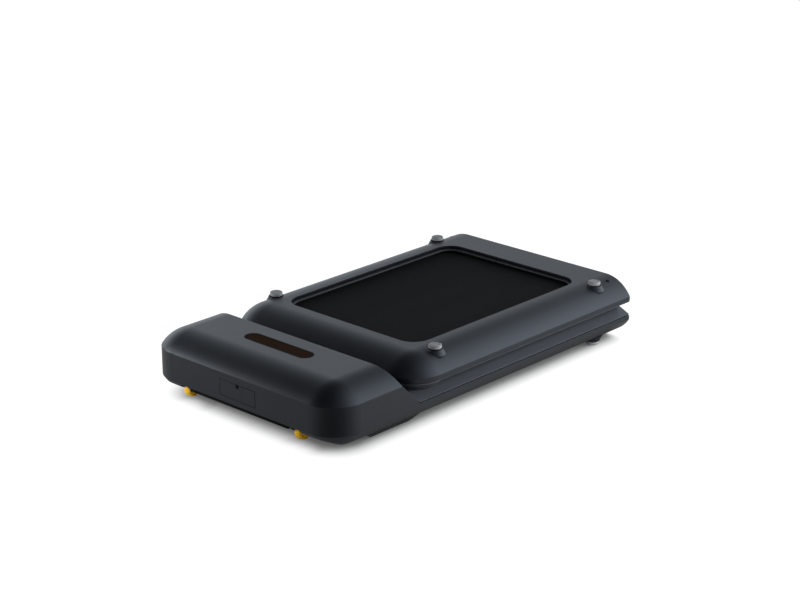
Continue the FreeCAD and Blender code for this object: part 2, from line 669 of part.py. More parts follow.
panel_eye = rod("panel_eye", "eye_radius", ("0", "panel_thick"), "0", "0")
place(panel_eye, "0", FRONT, "panel_low + panel_height - 2 * eye_radius",
      Rotation(Vector(0, 0, 1), 90) * Rotation(Vector(0, 1, 0), 90))
sensor_panel = cut("sensor_panel", panel_block("panel_plate", "0", "panel_thick"), panel_eye)


# Frame, deck and rails of each half

def beam(name, half, start):
    """Rectangular side tube with a bore for the guide roller's journal."""
    x = ("beam_inner", "beam_inner + beam_width")
    y = (start, "%s - 2 * shell_wall" % END)
    tube = deep_box(name + "_tube", half, x, y, ("beam_depth", "beam_depth + beam_height"))
    core = deep_box(name + "_core", half, ("beam_inner + beam_wall", "beam_inner + beam_width - beam_wall"),
                    ("%s - 1" % start, END),
                    ("beam_depth + beam_wall", "beam_depth + beam_height - beam_wall"))
    bore = rod(name + "_bore", "guide_shaft + shaft_fit", ("beam_inner - 1", "beam_inner + 2 * beam_wall"),
               "%s - guide_setback" % FOLD, depth_z(half, GUIDE))
    return cut(name, tube, core, bore)


def cross(name, half, y):
    """Cross tube between the beams, under the deck."""
    far = "%s + cross_width" % y
    depth = (UNDER_DECK, "%s + cross_height" % UNDER_DECK)
    tube = deep_box(name + "_tube", half, ("-beam_inner", "beam_inner"), (y, far), depth)
    core = deep_box(name + "_core", half, ("-beam_inner - 1", "beam_inner + 1"),
                    ("%s + beam_wall" % y, "%s - beam_wall" % far),
                    ("%s + beam_wall" % depth[0], "%s - beam_wall" % depth[1]))
    return cut(name, tube, core)


def glide(name, half):
    """Round cross tube under which the belt's return run turns up to the fold."""
    y, z = "%s - glide_setback" % FOLD, depth_z(half, GLIDE)
    return cut(name, rod(name + "_tube", GLIDE_RADIUS, ("-beam_inner", "beam_inner"), y, z),
               rod(name + "_core", "%s - beam_wall" % GLIDE_RADIUS, ("-beam_inner - 1", "beam_inner + 1"), y,
                   z))


def deck(name, half, start):
    """Wooden board with eased ends."""
    body = new_body(name)
    end = "%s - deck_from_fold" % FOLD
    top, low = depth_z(half, DECK), depth_z(half, UNDER_DECK)
    pad(body, outline(body, "YZ_Plane", ((start, top), (end, top), (end, low), (start, low))), "deck_width",
        midplane=True)
    level = value(top)
    round_edges(body, "deck_thick / 4", lambda e: abs(e.CenterOfMass.z - level) < 1e-3
                and abs(e.CenterOfMass.x) < 1)
    return body


def rail(name, half, start, end_tools):
    """Foot rail: a flat inner strip, a slope to the outer edge and a skirt hidden in the casing."""
    body = new_body(name)
    edge = "%s - rail_inset" % SIDE
    points = (("rail_inner", "rail_gap"), ("rail_shoulder", "rail_gap"), (edge, "rail_edge_depth"),
              (edge, "rail_edge_depth + rail_lip"), ("%s - rail_skin" % edge, "rail_edge_depth + rail_lip"),
              ("%s - rail_skin" % edge, "rail_skirt"), ("%s - 2 * rail_skin" % edge, "rail_skirt"),
              ("%s - 2 * rail_skin" % edge, "rail_edge_depth + rail_lip"),
              ("rail_shoulder", "rail_gap + rail_skin"),
              ("rail_inner", "rail_gap + rail_skin"))
    sketch = outline(body, "XZ_Plane", [(x, depth_z(half, d)) for x, d in points], "-(%s)" % start)
    pad(body, sketch, "%s - (%s)" % (END, start), reverse=True)
    notch = deep_box(name + "_notch", half,
                     ("rail_inner - 1", "knuckle_inner + 3 * knuckle_width + 3 * knuckle_gap + 1"),
                     ("%s - 0.8 * arm_length" % FOLD, "%s + 1" % END), ("-1", "rail_skirt"))
    stop = deep_box(name + "_stop", half, ("%s - 3 * rail_skin" % edge, "%s - rail_skin / 2" % edge),
                    ("%s - shell_wall - seat_gap" % END, "%s + 1" % END),
                    ("skirt_depth - seat_gap", "rail_skirt + 1"))
    return cut(name + "_right", body, notch, stop, *end_tools)


for half, title in HALVES:
    start = "%s + beam_from_front" % FRONT if half > 0 else "%s + beam_from_tail" % TAIL
    right = beam(title + "_beam_right", half, start)
    mirror(title + "_beam_left", right)
    glide(title + "_glide_bar", half)
    deck(title + "_deck", half, "%s + deck_from_front" % FRONT if half > 0 else "%s + deck_from_tail" % TAIL)
cross("front_cross", FRONT_HALF, "%s + cross_from_front" % FRONT)
cross("rear_cross", REAR_HALF, "%s + cross_from_tail" % TAIL)

wall_relief = box("wall_relief", ("%s - shell_wall - seat_gap" % SIDE, "%s + 1" % SIDE),
                  (FRONT, "%s + head_foot_length + seat_gap" % FRONT),
                  (depth_z(1, "rail_skirt"), MID))
mirror("front_rail_left", rail("front_rail", FRONT_HALF, "%s + head_seam_length + seat_gap" % FRONT,
                               (wall_relief,)))
mirror("rear_rail_left", rail("rear_rail", REAR_HALF, "%s + tail_corner + rail_skin" % TAIL, ()))


def tail_nose():
    """Cap that closes the tail between the rails and leaves room for the belt."""
    z = (depth_z(-1, "rail_gap"), depth_z(-1, "rail_edge_depth + rail_lip"))
    body = slab("tail_block", "%s - rail_inset" % SIDE,
                ("%s + rail_inset" % TAIL, "%s + tail_corner + rail_skin - seat_gap" % TAIL), z,
                "tail_corner - rail_inset")
    level, back = value(z[0]), value("%s + tail_corner + rail_skin - seat_gap" % TAIL)
    round_edges(body, "rail_edge_depth - rail_gap - 1", lambda e: abs(e.CenterOfMass.z - level) < 1e-3
                and abs(e.CenterOfMass.y - back) > 1e-3, "PartDesign::Chamfer")
    room = box("tail_room", ("-roller_length / 2 - rail_skin", "roller_length / 2 + rail_skin"),
               ("%s + roller_from_tail - roller_radius - belt_thick - 4 * run_gap" % TAIL, END),
               (MID, depth_z(-1, "half_depth")))
    return cut("tail_cap", body, room)


tail_nose()


def tail_bracket(name):
    """Plate on the beam that carries the tail roller's shaft."""
    plate = deep_box(name + "_plate", REAR_HALF, ("beam_inner - bracket_thick", "beam_inner"),
                     ("%s + bracket_from_tail" % TAIL, "%s + bracket_from_tail + bracket_length" % TAIL),
                     ("rail_edge_depth + rail_lip + seat_gap", "beam_depth + beam_height"))
    clear = deep_box(name + "_clear", REAR_HALF, ("beam_inner - bracket_thick - 1", "beam_inner + 1"),
                     ("%s + cross_from_tail - seat_gap" % TAIL,
                      "%s + bracket_from_tail + bracket_length + 1" % TAIL),
                     ("%s - seat_gap" % UNDER_DECK, "half_depth"))
    bore = rod(name + "_bore", "shaft_radius", ("beam_inner - bracket_thick - 1", "beam_inner + 1"), TAIL_Y,
               depth_z(-1, ROLLER))
    return cut(name + "_right", plate, clear, bore)


mirror("tail_bracket_left", tail_bracket("tail_bracket"))


# Fold hinge

def hinge(name, half, slots):
    """Leaf on the beam with an arm and knuckle in each of its slots along the axis."""

    def at(y, depth):
        return "%s + (%s)" % (FOLD, y), depth_z(half, depth)

    def slot_x(i):
        inner = "knuckle_inner + %d * (knuckle_width + knuckle_gap)" % i
        return inner, "%s + knuckle_width" % inner

    leaf = deep_box(name + "_leaf", half, ("knuckle_inner", "leaf_outer"),
                    ("%s - leaf_length" % FOLD, "%s - arm_length" % FOLD),
                    ("beam_depth - leaf_thick", "beam_depth"))
    pieces = [leaf]
    for i in slots:
        x0, x1 = slot_x(i)
        arm = new_body("%s_arm_%d" % (name, i))
        points = (at("-arm_length", "beam_depth"), at("-arm_length", "beam_depth - leaf_thick"),
                  at("-knuckle_radius", "0"),
                  at("0", "0"), at("knuckle_radius * 0.7", "knuckle_radius * 0.7"),
                  at("-arm_length / 3", "beam_depth"))
        pad(arm, outline(arm, "YZ_Plane", points, x0), "knuckle_width")
        pieces += [arm, rod("%s_knuckle_%d" % (name, i), "knuckle_radius", (x0, x1), FOLD, MID)]
    span = (slot_x(0)[0], slot_x(2)[1])
    if half > 0:
        bore = rod(name + "_bore", "pin_radius", ("%s - 1" % span[0], "%s + 1" % span[1]), FOLD, MID)
        pin = rod(name + "_pin", "pin_radius", span, FOLD, MID)
        return fuse(name + "_right", cut(name + "_eyes", fuse(name + "_solid", *pieces), bore), pin)
    bore = rod(name + "_bore", "pin_radius + shaft_fit", ("%s - 1" % span[0], "%s + 1" % span[1]), FOLD, MID)
    return cut(name + "_right", fuse(name + "_solid", *pieces), bore)


mirror("front_hinge_left", hinge("front_hinge", FRONT_HALF, (0, 2)))
mirror("rear_hinge_left", hinge("rear_hinge", REAR_HALF, (1,)))


# Rollers

def turned(name, points, y, z):
    """Body turned about an X axis, from half of its section in X and radius."""
    body = new_body(name)
    revolve(body, outline(body, "XY_Plane", points))
    return place(body, "0", y, z)


def ribbed(radius, start):
    """Rim of a pulley with V grooves, from its inner to its outer side."""
    ribs = int(value("rib_count"))
    rim = [(start, radius)]
    for i in range(ribs):
        groove = "%s + 2 + (pulley_width - 4) * %f" % (start, i / ribs)
        step = "(pulley_width - 4) / rib_count"
        rim += [(groove, radius), ("%s + %s / 2" % (groove, step), "%s - rib_depth" % radius)]
    rim += [("%s + pulley_width - 2" % start, radius), ("%s + pulley_width" % start, radius)]
    return rim


def drum(name, y, z, pulley):
    """Hollow end roller, open at both ends for its bearings."""
    end, deep = "roller_length / 2", "roller_length / 2 - bearing_width"
    tube = "roller_radius - roller_tube"
    rim = [("-(%s)" % end, "bearing_radius"), ("-(%s)" % end, "roller_radius"), (end, "roller_radius")]
    if pulley:
        rim += [(end, "bearing_radius + 2"), ("pulley_x", "bearing_radius + 2")]
        rim += ribbed("pulley_radius", "pulley_x")
        rim += [("pulley_x + pulley_width", "bearing_radius")]
    else:
        rim += [(end, "bearing_radius")]
    rim += [(deep, "bearing_radius"), (deep, tube), ("-(%s)" % deep, tube),
            ("-(%s)" % deep, "bearing_radius")]
    return turned(name, rim, y, z)


def bearings(name, y, z):
    """Pair of roller bearings."""
    inner, outer = "roller_length / 2 - bearing_width", "roller_length / 2"
    rings = []
    for i, (a, b) in enumerate((("-(%s)" % outer, "-(%s)" % inner), (inner, outer))):
        rings.append(cut("%s_ring_%d" % (name, i),
                         rod("%s_race_%d" % (name, i), "bearing_radius", (a, b), y, z),
                         rod("%s_hole_%d" % (name, i), "shaft_radius + shaft_fit",
                             ("%s - 1" % a, "%s + 1" % b), y, z)))
    return fuse(name, *rings)


def guide(name, half):
    """Slim roller with journals in the beams."""
    length, journal = "roller_length / 2", "beam_inner + beam_wall - seat_gap"
    return turned(name, (("-(%s)" % journal, "0"), ("-(%s)" % journal, "guide_shaft"),
                         ("-(%s)" % length, "guide_shaft"),
                         ("-(%s)" % length, "guide_radius"), (length, "guide_radius"),
                         (length, "guide_shaft"),
                         (journal, "guide_shaft"), (journal, "0")), "%s - guide_setback" % FOLD,
                  depth_z(half, GUIDE))


drum("front_roller", DRIVE_Y, depth_z(1, ROLLER), True)
drum("rear_roller", TAIL_Y, depth_z(-1, ROLLER), False)
bearings("front_bearings", DRIVE_Y, depth_z(1, ROLLER))
bearings("rear_bearings", TAIL_Y, depth_z(-1, ROLLER))
rod("front_shaft", "shaft_radius", ("-beam_inner", "beam_inner"), DRIVE_Y, depth_z(1, ROLLER))
rod("rear_shaft", "shaft_radius", ("-beam_inner", "beam_inner"), TAIL_Y, depth_z(-1, ROLLER))
guide("front_guide_roller", FRONT_HALF)
guide("rear_guide_roller", REAR_HALF)


# Drive motor, pulleys and belts

MOTOR_END = "motor_x + motor_length"
CAP_RADIUS = "motor_radius - motor_step"
turned("drive_motor", (
    ("motor_x", "0"), ("motor_x", "motor_radius - 3 * motor_step"),
    ("motor_x + 1.5 * motor_step", CAP_RADIUS), ("motor_x + motor_cap", CAP_RADIUS),
    ("motor_x + motor_cap", "motor_radius"), ("%s - motor_cap" % MOTOR_END, "motor_radius"),
    ("%s - motor_cap" % MOTOR_END, CAP_RADIUS), ("%s - 1.5 * motor_step" % MOTOR_END, CAP_RADIUS),
    (MOTOR_END, "motor_radius - 3 * motor_step"), (MOTOR_END, "motor_shaft"),
    ("pulley_x + pulley_width", "motor_shaft"), ("pulley_x + pulley_width", "0")), MOTOR_Y, "motor_height")
FLYWHEEL_X = "%s + flywheel_gap" % MOTOR_END
FLYWHEEL_END = "pulley_x - flywheel_neck"
PINION_BORE = "motor_shaft + shaft_fit"
NECK_RADIUS = "pinion_radius - rib_depth"
turned("motor_pulley", [
    (FLYWHEEL_X, PINION_BORE), (FLYWHEEL_X, "flywheel_radius - flywheel_neck"),
    ("%s + flywheel_neck" % FLYWHEEL_X, "flywheel_radius"),
    ("%s - flywheel_neck" % FLYWHEEL_END, "flywheel_radius"),
    (FLYWHEEL_END, "flywheel_radius - flywheel_neck"), (FLYWHEEL_END, NECK_RADIUS),
    ("pulley_x", NECK_RADIUS)] + ribbed("pinion_radius", "pulley_x")
       + [("pulley_x + pulley_width", PINION_BORE)], MOTOR_Y, "motor_height")
saddle_box = box("saddle_box", ("motor_x + saddle_inset", "%s - saddle_inset" % MOTOR_END),
                 ("%s - 0.6 * motor_radius" % MOTOR_Y, "%s + 0.6 * motor_radius" % MOTOR_Y),
                 ("foot_height", "motor_height - 0.55 * motor_radius"))
cut("motor_bracket", common("saddle_block", saddle_box, front_hollow),
    rod("saddle_seat", "motor_radius", ("motor_x", MOTOR_END), MOTOR_Y, "motor_height"))


def arc(centre, radius, start, end):
    """Edge in the YZ plane round a centre, between two angles in degrees from +Y."""
    def spot(angle):
        turn = math.radians(angle)
        return Vector(0, centre[0] + radius * math.cos(turn), centre[1] + radius * math.sin(turn))
    return Part.Arc(spot(start), spot((start + end) / 2), spot(end)).toShape()


def ends(edge):
    return edge.valueAt(edge.FirstParameter), edge.valueAt(edge.LastParameter)


def chain(*steps):
    """Join arcs and single points by straight lines, as the edges of one path."""
    edges, last = [], None
    for step in steps:
        first, final = (step, step) if isinstance(step, Vector) else ends(step)
        if last is not None and last.distanceToPoint(first) > 1e-6:
            edges.append(Part.makeLine(last, first))
        if step is not first:
            edges.append(step)
        last = final
    return edges


def pulley_loop(shift):
    """Closed path round the two drive pulleys, a distance outside their rims."""
    big = (value(DRIVE_Y), value(depth_z(1, ROLLER)))
    small = (value(MOTOR_Y), value("motor_height"))
    radii = value("pulley_radius") + shift, value("pinion_radius") + shift
    span = math.hypot(small[0] - big[0], small[1] - big[1])
    aim = math.degrees(math.atan2(small[1] - big[1], small[0] - big[0]))
    lean = math.degrees(math.acos((radii[0] - radii[1]) / span))
    turn_big = arc(big, radii[0], aim + lean, aim - lean + 360)
    turn_small = arc(small, radii[1], aim - lean, aim + lean)
    return Part.Face(Part.Wire(chain(turn_big, turn_small, ends(turn_big)[0])))


inside = value("run_gap")
drive_loop = pulley_loop(inside + value("drive_thick")).cut(pulley_loop(inside))
drive_belt = feature("drive_belt", drive_loop.extrude(Vector(value("pulley_width - 2"), 0, 0)))
drive_belt.Placement = FreeCAD.Placement(Vector(value("pulley_x + 1"), 0, 0), Rotation())


def belt_side(half, roller_y, shift):
    """One face of the running belt from the fold, round its roller and back to the fold."""
    fold, mid, thick = value(FOLD), value(MID), value("belt_thick")

    def flip(edge):
        return edge if half > 0 else edge.mirror(Vector(0, 0, mid), Vector(0, 0, 1))

    def spot(y, depth):
        return Vector(0, y, mid - depth)

    top = value("belt_gap") + thick / 2 - shift
    roller = value("roller_radius + run_gap") + thick / 2 + shift
    centre = (value(roller_y), mid - value(ROLLER))
    bar = (fold - value("glide_setback"), mid - value(GLIDE))
    bar_radius = value(GLIDE_RADIUS) + value("run_gap") + thick / 2 + shift
    guide_at = (fold - value("guide_setback"), mid - value(GUIDE))
    guide_radius = value("guide_radius + run_gap") + thick / 2 - shift
    span = math.hypot(guide_at[0] - bar[0], guide_at[1] - bar[1])
    aim = math.degrees(math.atan2(guide_at[1] - bar[1], guide_at[0] - bar[0]))
    climb = aim + math.degrees(math.asin((bar_radius + guide_radius) / span))
    edges = chain(spot(fold, top), arc(centre, roller, 90, 270), arc(bar, bar_radius, -90, climb - 90),
                  arc(guide_at, guide_radius, climb + 90, 90), spot(fold, value("fold_radius") + shift))
    return [flip(e) for e in edges]


def belt_half(name, half, roller_y):
    """Half of the running belt, as deep as the belt is thick."""
    thick = value("belt_thick")
    outer, inner = belt_side(half, roller_y, thick / 2), belt_side(half, roller_y, -thick / 2)
    caps = [Part.makeLine(ends(outer[0])[0], ends(inner[0])[0]),
            Part.makeLine(ends(outer[-1])[1], ends(inner[-1])[1])]
    section = Part.Face(Part.Wire(Part.__sortEdges__(outer + inner + caps)))
    piece = feature(name, section.extrude(Vector(value("belt_width"), 0, 0)))
    piece.Placement = FreeCAD.Placement(Vector(value("-belt_width / 2"), 0, 0), Rotation())


belt_half("belt_front", FRONT_HALF, DRIVE_Y)
belt_half("belt_rear", REAR_HALF, TAIL_Y)


def belt_bend(name, radius):
    """Bend of the belt round the fold axis."""
    span = ("-belt_width / 2", "belt_width / 2")
    ring = cut(name + "_ring", rod(name + "_out", "%s + belt_thick / 2" % radius, span, FOLD, MID),
               rod(name + "_in", "%s - belt_thick / 2" % radius, ("%s - 1" % span[0], "%s + 1" % span[1]),
                   FOLD, MID))
    reach = "(%s + belt_thick)" % radius
    return common(name, ring, box(name + "_side", span, (FOLD, "%s + %s" % (FOLD, reach)),
                                  ("%s - %s" % (MID, reach), "%s + %s" % (MID, reach))))


belt_bend("belt_fold_top", "(belt_gap + belt_thick / 2)")
belt_bend("belt_fold_return", "fold_radius")


# Controller, heat sink and mains inlet

BOARD_Y = "%s + board_from_front" % FRONT
BOARD_TOP = "board_height + board_thick"
BOARD_FAR = "%s + board_length" % BOARD_Y


def controller():
    """Circuit board with a choke, a capacitor and a plug."""
    x = "board_x + 3 * part_margin"
    plug_x = "board_x + board_width - part_margin"
    plug_y = "%s + board_length / 2" % BOARD_Y
    return fuse(
        "controller_board",
        box("board_pcb", ("board_x", "board_x + board_width"), (BOARD_Y, BOARD_FAR),
            ("board_height", BOARD_TOP)),
        box("board_choke", (x, "%s + choke_size" % x),
            ("%s + part_margin" % BOARD_Y, "%s + part_margin + choke_size" % BOARD_Y),
            (BOARD_TOP, "%s + choke_size" % BOARD_TOP)),
        post("board_capacitor", "capacitor_radius", "%s + choke_size / 2" % x,
             "%s - part_margin - capacitor_radius" % BOARD_FAR,
             (BOARD_TOP, "%s + capacitor_height" % BOARD_TOP)),
        box("board_plug", ("%s - plug_width" % plug_x, plug_x),
            ("%s - plug_length / 2" % plug_y, "%s + plug_length / 2" % plug_y),
            (BOARD_TOP, "%s + plug_height" % BOARD_TOP)))


controller()


def heat_sink():
    """Extruded sink: a base and a row of fins repeated at one pitch."""
    body = new_body("heatsink")
    x = "board_x + board_width / 2 - sink_shift"
    y = ("%s + part_margin" % BOARD_Y, "%s - part_margin" % BOARD_FAR)

    def strip(width):
        far = "%s + %s" % (x, width)
        return outline(body, "XY_Plane", ((x, y[0]), (far, y[0]), (far, y[1]), (x, y[1])), BOARD_TOP)

    pad(body, strip("(fin_count - 1) * fin_pitch + fin_thick"), "sink_base")
    fin = strip("fin_thick")
    blade = pad(body, fin, "fin_height")
    row = body.newObject("PartDesign::LinearPattern", "heatsink_row")
    row.Originals = [blade]
    row.Direction = (fin, ["H_Axis"])
    bind(row, Length="(fin_count - 1) * fin_pitch", Occurrences="fin_count")
    body.Tip = row
    return body


heat_sink()

INLET_FACE = "-%s + 0.4" % SIDE
ROCKER_Y = "%s - rocker_length" % INLET_Y[1]
ROCKER_Z = "inlet_low + inlet_height / 2"
ROCKER_X = "%s + 9" % INLET_FACE
inlet_block = box("inlet_block", (INLET_FACE, "%s + inlet_depth" % INLET_FACE), INLET_Y,
                  ("inlet_low", "inlet_low + inlet_height"))
SOCKET_Y = "%s + 22" % INLET_Y[0]
socket = box("inlet_socket", ("%s - 1" % INLET_FACE, "%s + inlet_depth - 4" % INLET_FACE),
             ("%s - 12" % SOCKET_Y, "%s + 12" % SOCKET_Y),
             ("%s - 8" % ROCKER_Z, "%s + 8" % ROCKER_Z))
rocker_room = box("rocker_room", ("%s - 1" % INLET_FACE, "%s + inlet_depth - 4" % INLET_FACE),
                  ("%s - rocker_length / 2 - 0.6" % ROCKER_Y, "%s + rocker_length / 2 + 0.6" % ROCKER_Y),
                  ("%s - rocker_height / 2 - 0.4" % ROCKER_Z, "%s + rocker_height / 2 + 0.4" % ROCKER_Z))
rocker_pin = post("rocker_pin", "1.5", ROCKER_X, ROCKER_Y,
                  ("%s - rocker_height / 2 - 1" % ROCKER_Z, "%s + rocker_height / 2 + 1" % ROCKER_Z))
fuse("power_inlet", cut("inlet_body", inlet_block, socket, rocker_room), rocker_pin,
     *[box("inlet_pin_%d" % i, ("%s + 9" % INLET_FACE, "%s + inlet_depth - 3" % INLET_FACE),
           ("%s + %d - 1" % (SOCKET_Y, y), "%s + %d + 1" % (SOCKET_Y, y)),
           ("%s + %d - 2" % (ROCKER_Z, z), "%s + %d + 2" % (ROCKER_Z, z)))
       for i, (y, z) in enumerate(((-7, -2), (0, 2), (7, -2)))])


def rocker():
    """Rocker with two faces that meet over its pin."""
    body = new_body("rocker_body")
    points = ((ROCKER_X, "%s - rocker_length / 2" % ROCKER_Y),
              ("%s + 1" % INLET_FACE, "%s - rocker_length / 2 + rocker_draft" % ROCKER_Y),
              ("%s + 2.6" % INLET_FACE, ROCKER_Y),
              ("%s + 1" % INLET_FACE, "%s + rocker_length / 2 - rocker_draft" % ROCKER_Y),
              (ROCKER_X, "%s + rocker_length / 2" % ROCKER_Y), ("%s + 3" % ROCKER_X, ROCKER_Y))
    pad(body, outline(body, "XY_Plane", points, "%s - rocker_height / 2" % ROCKER_Z), "rocker_height")
    bore = post("rocker_bore", "1.5 + shaft_fit", ROCKER_X, ROCKER_Y,
                ("%s - rocker_height" % ROCKER_Z, "%s + rocker_height" % ROCKER_Z))
    return cut("power_switch", body, bore)


rocker()


# Feet and transport wheels

def foot(name, half, x, y):
    """Rubber foot with a rounded rim, seated in its boss."""
    body = new_body(name)
    seat, reach = "half_depth - boss_drop - foot_seat", "half_depth + foot_height"
    high = "%s - (%s)" % (reach, seat)
    revolve(body, outline(body, "XY_Plane",
                          (("0", "0"), ("0", "foot_radius"), (high, "foot_radius"), (high, "0"))))
    crown = value(high)
    round_edges(body, "foot_rounding", lambda e: abs(e.CenterOfMass.x - crown) < 1e-3)
    place(body, x, y, depth_z(half, seat), Rotation(Vector(0, 1, 0), 90 if half > 0 else -90))
    return body


for half, title in HALVES:
    labels = ("left", "right") if half > 0 else ("fold_left", "fold_right", "tail_left", "tail_right")
    for label, (x, y) in zip(labels, foot_places(half)):
        foot("%s_foot_%s" % (title, label), half, x, y)

BLOCK_NEAR = "%s + block_from_front" % FRONT
BLOCK_FAR = "%s + block_length" % BLOCK_NEAR
BLOCK_TOP = "foot_height + block_seat"
BLOCK_ENDS = "(%s) * block_slope" % BLOCK_TOP
BLOCK_SIDES = "block_width / 2 + (%s) * block_flare" % BLOCK_TOP
block_run = side_prism("block_run", (
    (BLOCK_NEAR, "0"), (BLOCK_FAR, "0"), ("%s + %s" % (BLOCK_FAR, BLOCK_ENDS), BLOCK_TOP),
    ("%s - %s" % (BLOCK_NEAR, BLOCK_ENDS), BLOCK_TOP)), "block_width")
place(block_run, "block_x")
block_flank = side_prism("block_flank", (
    ("-block_width / 2", "0"), ("block_width / 2", "0"), (BLOCK_SIDES, BLOCK_TOP),
    ("-(%s)" % BLOCK_SIDES, BLOCK_TOP)), "block_length")
place(block_flank, "block_x", "%s + block_length / 2" % BLOCK_NEAR, "0", Rotation(Vector(0, 0, 1), 90))
block_solid = common("block_solid", block_run, block_flank)
foot_block = cut("foot_block_right", block_solid, front_outer)
mirror("foot_block_left", foot_block)


def wheel(name, side):
    """Wheel with a stepped rim and a bore that turns on its axle."""
    x = "%d * wheel_x" % side
    half = "wheel_width / 2"
    points = (("-(%s)" % half, "axle_radius + shaft_fit"), ("-(%s)" % half, "axle_radius + 4"),
              ("-(%s) + 2" % half, "axle_radius + 5"),
              ("-(%s) + 2" % half, "wheel_radius - 4"), ("-(%s)" % half, "wheel_radius - 3"),
              ("-(%s) + 2" % half, "wheel_radius"),
              ("%s - 2" % half, "wheel_radius"), (half, "wheel_radius - 3"),
              ("%s - 2" % half, "wheel_radius - 4"),
              ("%s - 2" % half, "axle_radius + 5"), (half, "axle_radius + 4"),
              (half, "axle_radius + shaft_fit"))
    body = turned(name, points, WHEEL_Y, WHEEL_Z)
    return place(body, x, WHEEL_Y, WHEEL_Z)


for side, title in ((-1, "left"), (1, "right")):
    wheel("wheel_" + title, side)
    reach = "(wheel_width / 2 + wheel_gap + ear_thick)"
    rod("wheel_axle_" + title, "axle_radius",
        ("%d * wheel_x - %s" % (side, reach), "%d * wheel_x + %s" % (side, reach)), WHEEL_Y, WHEEL_Z)

NODES = """
    front_shell head_cover display_lens display_board sensor_panel drive_motor motor_bracket
    motor_pulley drive_belt front_roller front_bearings front_shaft front_guide_roller
    front_glide_bar front_cross front_deck front_beam_left front_beam_right front_rail_left
    front_rail_right front_foot_left front_foot_right foot_block_left foot_block_right
    controller_board heatsink power_inlet power_switch wheel_left wheel_right wheel_axle_left
    wheel_axle_right front_hinge_left front_hinge_right belt_front belt_fold_top belt_fold_return
    rear_shell rear_beam_left rear_beam_right rear_cross rear_glide_bar rear_deck rear_rail_left
    rear_rail_right tail_cap tail_bracket_left tail_bracket_right rear_foot_fold_left
    rear_foot_fold_right rear_foot_tail_left rear_foot_tail_right rear_roller rear_bearings
    rear_shaft rear_guide_roller rear_hinge_left rear_hinge_right belt_rear
""".split()

doc.recompute()
for thing in doc.Objects:
    if {"Invalid", "Error"} & set(thing.State):
        raise RuntimeError("%s did not build" % thing.Label)

os.makedirs("parts", exist_ok=True)
for node in NODES:
    piece = doc.getObject(node)
    piece.Label = node
    if piece.Shape.isNull() or not piece.Shape.isValid() or not piece.Shape.Solids:
        raise RuntimeError("%s has no valid solid" % node)
    piece.Shape.exportStep("parts/%s.step" % node)
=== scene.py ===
"""Looks of a folding walking pad, shown folded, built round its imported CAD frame."""

import json
import logging
import math
from dataclasses import dataclass
from enum import Enum
from typing import Any, Callable, Iterable, Sequence, Union

import bmesh
import bpy
from mathutils import Matrix, Vector

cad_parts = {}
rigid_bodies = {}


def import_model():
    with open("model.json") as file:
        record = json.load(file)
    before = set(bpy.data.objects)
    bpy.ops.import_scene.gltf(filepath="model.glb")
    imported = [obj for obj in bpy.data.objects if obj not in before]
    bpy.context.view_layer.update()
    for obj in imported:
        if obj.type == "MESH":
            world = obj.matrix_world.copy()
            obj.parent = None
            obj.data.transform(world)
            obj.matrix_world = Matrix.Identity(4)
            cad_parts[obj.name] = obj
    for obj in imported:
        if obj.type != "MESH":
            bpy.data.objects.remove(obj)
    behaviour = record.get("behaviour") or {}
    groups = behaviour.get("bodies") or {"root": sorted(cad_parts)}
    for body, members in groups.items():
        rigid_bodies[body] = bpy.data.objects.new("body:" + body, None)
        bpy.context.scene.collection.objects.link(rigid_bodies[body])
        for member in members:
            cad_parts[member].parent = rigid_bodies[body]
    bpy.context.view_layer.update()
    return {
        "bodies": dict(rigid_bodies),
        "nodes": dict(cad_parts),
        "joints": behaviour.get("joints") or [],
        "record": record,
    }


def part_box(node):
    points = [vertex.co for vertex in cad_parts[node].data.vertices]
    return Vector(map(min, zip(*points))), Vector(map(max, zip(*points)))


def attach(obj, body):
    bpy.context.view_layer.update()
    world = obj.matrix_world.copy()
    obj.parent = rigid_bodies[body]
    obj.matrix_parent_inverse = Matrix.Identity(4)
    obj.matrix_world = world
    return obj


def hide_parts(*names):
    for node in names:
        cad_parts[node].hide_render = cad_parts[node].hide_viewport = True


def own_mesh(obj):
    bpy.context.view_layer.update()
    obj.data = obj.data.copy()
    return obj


LOG = logging.getLogger("walking_pad")

Colour = tuple[float, float, float]
Point = tuple[float, float, float]
MM = 0.001
LAMP_COLOUR: Colour = (0.95, 0.98, 1.0)
GLOSS_TINT: Colour = (0.84, 0.91, 1.0)
WHITE: Colour = (1.0, 1.0, 1.0)


class Body(Enum):
    """Moving bodies that pieces ride on."""

    BASE = "base"
    REAR = "rear_half"
    WHEEL_LEFT = "wheel_l"
    WHEEL_RIGHT = "wheel_r"


class Slot(Enum):
    """Material slots of the record."""

    CASING = "casing"
    COVER = "cover"
    PANEL = "panel"
    RAIL = "rail"
    LENS = "lens"
    BOARD = "board"
    MOTOR = "motor"
    STEEL = "steel"
    FRAME = "frame_paint"
    BEARING = "bearing"
    PULLEY = "pulley"
    SINK = "sink"
    DRIVE_RUBBER = "drive_rubber"
    BELT = "belt"
    DECK = "deck"
    FOOT = "foot"
    BLOCK = "block"
    WHEEL = "wheel"
    INLET = "inlet"


# Shader graphs

